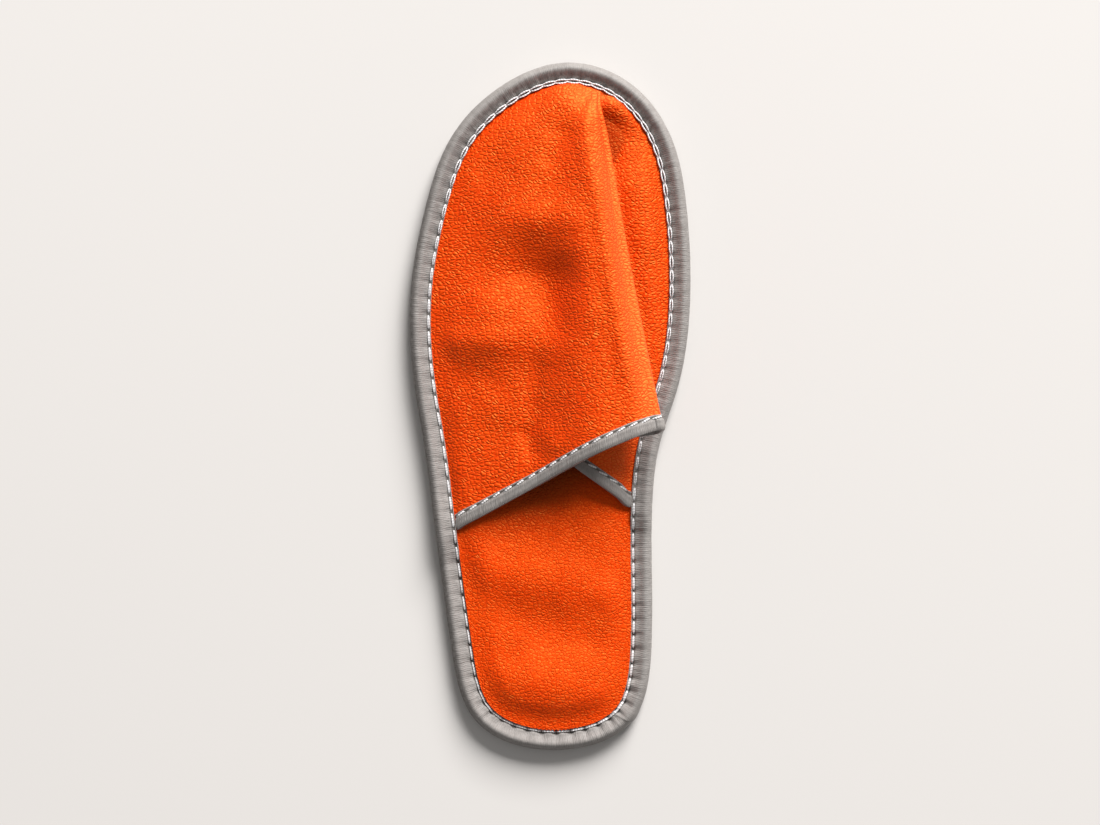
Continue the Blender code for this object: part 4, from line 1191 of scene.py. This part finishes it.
# ---- materials ----------------------------------------------------------------------------------
class Look:
    """Small helper that adds nodes to one material and joins their sockets."""

    def __init__(self, name, roughness, specular):
        self.material = bpy.data.materials.new(name)
        self.material.use_nodes = True
        self.tree = self.material.node_tree
        self.shader = self.tree.nodes["Principled BSDF"]
        self.shader.inputs["Roughness"].default_value = roughness
        self.shader.inputs["Specular IOR Level"].default_value = specular

    def node(self, kind, settings=None, **inputs):
        made = self.tree.nodes.new(kind)
        for key, value in (settings or {}).items():
            setattr(made, key, value)
        for key, value in inputs.items():
            self.feed(made.inputs[key.replace("_", " ")], value)
        return made

    def feed(self, socket, value):
        if isinstance(value, bpy.types.NodeSocket):
            self.tree.links.new(value, socket)
        else:
            socket.default_value = value

    def math(self, operation, first, second):
        made = self.node("ShaderNodeMath", {"operation": operation})
        self.feed(made.inputs[0], first)
        self.feed(made.inputs[1], second)
        return made.outputs[0]

    def cloth(self, across=1.0, along=1.0):
        """Cloth coordinates in millimetres, times the cells that a texture of scale 1 has in each."""
        uv = self.node("ShaderNodeUVMap", {"uv_map": "cloth"}).outputs[0]
        return self.node("ShaderNodeMapping", Vector=uv, Scale=(across, along, 1.0)).outputs[0]

    def painted(self, name):
        """A value kept on the points of the mesh."""
        return self.node("ShaderNodeAttribute", {"attribute_name": name}).outputs["Fac"]

    def noise(self, vector, scale, detail, roughness=0.5, output="Fac"):
        return self.node("ShaderNodeTexNoise", {"noise_dimensions": "2D"}, Vector=vector, Scale=scale,
                         Detail=detail, Roughness=roughness).outputs[output]

    def solid_noise(self, scale, detail):
        """Noise through space, with scale cells to a metre."""
        position = self.node("ShaderNodeTexCoord").outputs["Object"]
        return self.node("ShaderNodeTexNoise", Vector=position, Scale=scale, Detail=detail).outputs["Fac"]

    def bands(self, direction, vector, **inputs):
        return self.node("ShaderNodeTexWave", {"wave_type": "BANDS", "bands_direction": direction},
                         Vector=vector, **inputs).outputs["Fac"]

    def ramp(self, value, low, high, start=0.0, end=1.0):
        """A soft change from start to end as the value goes from low to high."""
        made = self.node("ShaderNodeMapRange", {"interpolation_type": "SMOOTHSTEP"}, Value=value,
                         From_Min=low, From_Max=high, To_Min=start, To_Max=end)
        return made.outputs["Result"]

    def mix(self, share, first, second):
        made = self.node("ShaderNodeMix", {"data_type": "RGBA"})
        self.feed(made.inputs[0], share)
        for socket, colour in ((made.inputs[6], first), (made.inputs[7], second)):
            self.feed(socket, colour if isinstance(colour, bpy.types.NodeSocket) else (*colour, 1.0))
        return made.outputs[2]

    def warp(self, vector, scale, amount):
        """The same coordinates pushed about by soft noise."""
        moved = self.node("ShaderNodeVectorMath", {"operation": "MULTIPLY_ADD"})
        self.feed(moved.inputs[0], self.noise(vector, scale, 1.0, output="Color"))
        self.feed(moved.inputs[1], (amount, amount, 0.0))
        self.feed(moved.inputs[2], vector)
        return moved.outputs[0]

    def finish(self, colour, height, depth, roughness=None):
        """Joins colour, relief (its depth in millimetres) and roughness to the shader."""
        bump = self.node("ShaderNodeBump", Height=height, Strength=1.0, Distance=depth * MM)
        self.feed(self.shader.inputs["Base Color"], colour)
        self.feed(self.shader.inputs["Normal"], bump.outputs[0])
        if roughness is not None:
            self.feed(self.shader.inputs["Roughness"], roughness)
        return self.material


# fabrics: name, cells to a millimetre across and along, depth of the grain, width of its creases, gloss,
# strength of the painted shade, unevenness of the cells
FABRICS = (
    ("grained_fabric", 0.50, 0.74, 0.235, 0.36, 0.70, 0.52, 1.0),
    ("grained_pad", 0.62, 0.74, 0.17, 0.25, 0.60, 0.95, 1.2),
)
ORANGE = (0.77, 0.042, 0.0)
ORANGE_CREASE_SHADE = (0.74, 0.018, 0.0)          # painted shade in the creases of the grain
ORANGE_WORN = (0.81, 0.056, 0.001)
# painted highlight of the fabric
ORANGE_PAINTED_HIGHLIGHT = (0.92, 0.155, 0.032)
# painted shade of the fabric, under the collar and beside the fold
ORANGE_PAINTED_SHADE = (0.20, 0.002, 0.0)
FABRIC_SHEEN = (1.0, 0.82, 0.14, 1.0)
LINING = ((0.30, 0.035, 0.008), (0.42, 0.055, 0.012))
TAPE = (0.262, 0.242, 0.229)
TAPE_DARK = (0.136, 0.124, 0.116)
TAPE_LIGHT = (0.352, 0.330, 0.315)
# painted shade of the tape
TAPE_PAINTED_SHADE = (0.060, 0.050, 0.044)
TAPE_RIB = 0.8                # pitch of the tape's cross ribs
WAVE_UNIT = 0.314             # scale at which a wave texture has one band to a millimetre
THREAD_PLIES = ((0.60, 0.585, 0.60), (0.86, 0.85, 0.85))
# looks of the tread: name, roughness, pale colour, dark colour, specks
GROOVES = ("tread_grooves", 0.6, (0.26, 0.26, 0.27), (0.18, 0.18, 0.19), (0.12, 0.12, 0.13))
RIBS = ("tread_ribs_look", 0.34, (0.78, 0.78, 0.79), (0.62, 0.62, 0.635), (0.45, 0.45, 0.46))
FLOOR = ((0.680, 0.658, 0.640), (0.692, 0.670, 0.651))


def fabric_look(name, across, along, grain_depth, crease_width, gloss, shade, unevenness):
    """Grained leather-look fabric: flat pebbles parted by soft creases, over broad shallow wrinkles."""
    look = Look(name, 0.48, gloss)
    look.shader.inputs["Specular Tint"].default_value = FABRIC_SHEEN
    warped = look.warp(look.cloth(across, along), 0.6, unevenness)
    cells = look.node("ShaderNodeTexVoronoi", {"voronoi_dimensions": "2D", "feature": "DISTANCE_TO_EDGE"},
                      Vector=warped, Scale=1.0, Randomness=0.95)
    pebble = look.ramp(cells.outputs["Distance"], 0.0, crease_width)
    strength = look.ramp(look.noise(look.cloth(), 0.12, 2.0), 0.3, 0.7, 0.7, 1.2)
    soft = look.noise(look.cloth(across * 0.7, along * 1.1), 1.0, 2.0)
    height = look.math("ADD", look.math("MULTIPLY", pebble, strength), look.math("MULTIPLY", soft, 1.3))
    # painted highlight and painted shade kept on the mesh; the taut fabric also gets a shallower grain
    taut_painted_highlight, painted_shade = look.painted("taut_painted_highlight"), look.painted("painted_shade")
    height = look.math("MULTIPLY", height, look.math("SUBTRACT", 1.0, look.math("MULTIPLY", taut_painted_highlight, 0.5)))
    patch = look.ramp(look.noise(look.cloth(), 0.05, 3.0, 0.6), 0.35, 0.65)
    colour = look.mix(look.math("MULTIPLY", patch, 0.5), ORANGE, ORANGE_WORN)
    # painted highlight along the fold, at the toe seam and behind the throat
    colour = look.mix(look.math("MULTIPLY", taut_painted_highlight, 0.7), colour, ORANGE_PAINTED_HIGHLIGHT)
    # painted shade in the grain's creases
    colour = look.mix(look.ramp(pebble, 0.0, 0.55, 0.62, 0.0), colour, ORANGE_CREASE_SHADE)
    # painted shade under the collar and beside the fold
    colour = look.mix(look.math("MULTIPLY", painted_shade, shade), colour, ORANGE_PAINTED_SHADE)
    return look.finish(colour, height, grain_depth, look.ramp(soft, 0.3, 0.7, 0.49, 0.57))


def lining_look():
    """Thin knitted backing of the fabric."""
    look = Look("lining", 0.8, 0.3)
    loops = look.bands("DIAGONAL", look.cloth(), Scale=0.9, Distortion=1.5, Detail=2.0)
    return look.finish(look.mix(loops, *LINING), loops, 0.12)


def tape_look(name):
    """Close-woven satin tape: fine cross ribs, faint long wrinkles and painted shade."""
    look = Look(name, 0.52, 0.35)
    ribs = look.bands("X", look.warp(look.cloth(), 0.35, 0.8), Scale=WAVE_UNIT / TAPE_RIB,
                      Distortion=1.2, Detail=2.0, Detail_Scale=1.5)
    threads = look.noise(look.cloth(4.2, 0.5), 1.0, 3.0, 0.7)
    pucker = look.noise(look.cloth(0.9, 0.16), 1.0, 2.0, 0.55)
    height = look.math("ADD", look.math("MULTIPLY", ribs, 0.35), threads)
    height = look.math("ADD", height, look.math("MULTIPLY", pucker, 1.6))
    shade = look.ramp(look.noise(look.cloth(0.35, 0.5), 0.4, 3.0, 0.6), 0.3, 0.7)
    speckle = look.ramp(look.noise(look.cloth(), 0.5, 3.0, 0.7), 0.3, 0.7, 0.45, 1.0)
    colour = look.mix(look.math("MULTIPLY", shade, 0.45), TAPE, TAPE_LIGHT)
    colour = look.mix(look.ramp(threads, 0.25, 0.5, 0.45, 0.0), colour, TAPE_DARK)
    # painted shade, mottled by the speckle
    colour = look.mix(look.math("MULTIPLY", look.painted("tape_painted_shade"), speckle), colour, TAPE_PAINTED_SHADE)
    return look.finish(colour, height, 0.16)


def thread_look():
    """Twisted white thread."""
    look = Look("thread", 0.5, 0.4)
    ply = look.bands("DIAGONAL", look.cloth(), Scale=0.55, Distortion=0.6)
    return look.finish(look.mix(ply, *THREAD_PLIES), ply, 0.10)


def tread_look(name, roughness, pale, dark, speck):
    """Moulded foam: pale and slightly glossy on the worn ribs, dull and darker between them."""
    look = Look(name, roughness, 0.5)
    grain, broad = look.solid_noise(1400.0, 3.0), look.solid_noise(40.0, 3.0)
    colour = look.mix(look.ramp(broad, 0.35, 0.65), dark, pale)
    colour = look.mix(look.ramp(grain, 0.4, 0.7, 0.0, 0.3), colour, speck)
    return look.finish(colour, grain, 0.08)


def floor_look():
    """Plain matt board with a faint unevenness of tone."""
    look = Look("floor", 0.75, 0.2)
    tone = look.solid_noise(3.0, 2.0)
    return look.finish(look.mix(tone, *FLOOR), tone, 0.02)


# ---- stage, in metres ---------------------------------------------------------------------------
FLOOR_REACH = 4.0
CAMERA_HEIGHT = 1.5
CAMERA_RISE = 0.005           # the camera stands this much higher than the height that frames the view
VIEW_WIDTH = 0.4557           # floor seen across the frame
VIEW_CENTRE = (-0.0002, -0.0025)
SENSOR = 36.0
FAR_CLIP = 20.0
# key light: compass and elevation in degrees, distance, size, power, colour
KEY_AZIMUTH = 68.0
KEY_ELEVATION = 30.0
KEY_DISTANCE = 6.0
KEY_SIZE = 3.0
KEY_POWER = 782.0
KEY_COLOUR = (1.0, 0.985, 0.97)
SKY = 0.26
SKY_COLOUR = (1.0, 0.99, 0.98, 1.0)


def build_floor():
    """Wide board under the shoe."""
    corners = [(FLOOR_REACH * x, FLOOR_REACH * y, 0.0) for x, y in ((-1, -1), (1, -1), (1, 1), (-1, 1))]
    mesh = bpy.data.meshes.new("floor")
    mesh.from_pydata(corners, [], [(0, 1, 2, 3)])
    mesh.materials.append(floor_look())
    floor = add_object("floor", mesh)


def build_light():
    """One square soft box aimed at the shoe, and an even sky."""
    turn, rise = np.radians(KEY_AZIMUTH), np.radians(KEY_ELEVATION)
    lamp = bpy.data.lights.new("key", "AREA")
    lamp.size = KEY_SIZE
    lamp.energy = KEY_POWER
    lamp.color = KEY_COLOUR
    box = add_object("key", lamp)
    aim = np.array([np.cos(rise) * np.cos(turn), np.cos(rise) * np.sin(turn), np.sin(rise)])
    box.location = KEY_DISTANCE * aim
    box.rotation_euler = (np.pi / 2.0 - rise, 0.0, turn + np.pi / 2.0)
    world = bpy.data.worlds.new("studio")
    bpy.context.scene.world = world
    world.use_nodes = True
    back = world.node_tree.nodes["Background"]
    back.inputs["Color"].default_value = SKY_COLOUR
    back.inputs["Strength"].default_value = SKY


def build_camera():
    """Camera straight above the shoe."""
    camera = bpy.data.cameras.new("camera")
    camera.sensor_width = SENSOR
    camera.lens = SENSOR * CAMERA_HEIGHT / VIEW_WIDTH
    camera.clip_end = FAR_CLIP
    eye = add_object("camera", camera)
    eye.location = (*VIEW_CENTRE, CAMERA_HEIGHT + CAMERA_RISE)
    bpy.context.scene.camera = eye
    bpy.context.scene.view_settings.view_transform = "Standard"


def main():
    fabric, pad = (fabric_look(*row) for row in FABRICS)
    thread = thread_look()
    build_upper(fabric, lining_look())
    build_insole(pad)
    build_sole_tape(tape_look("sole_tape"), thread)
    build_collar_tape(tape_look("collar_tape"), thread)
    build_tread_sheet(tread_look(*GROOVES))
    build_ribs(tread_look(*RIBS))
    build_floor()
    build_light()
    build_camera()


main()
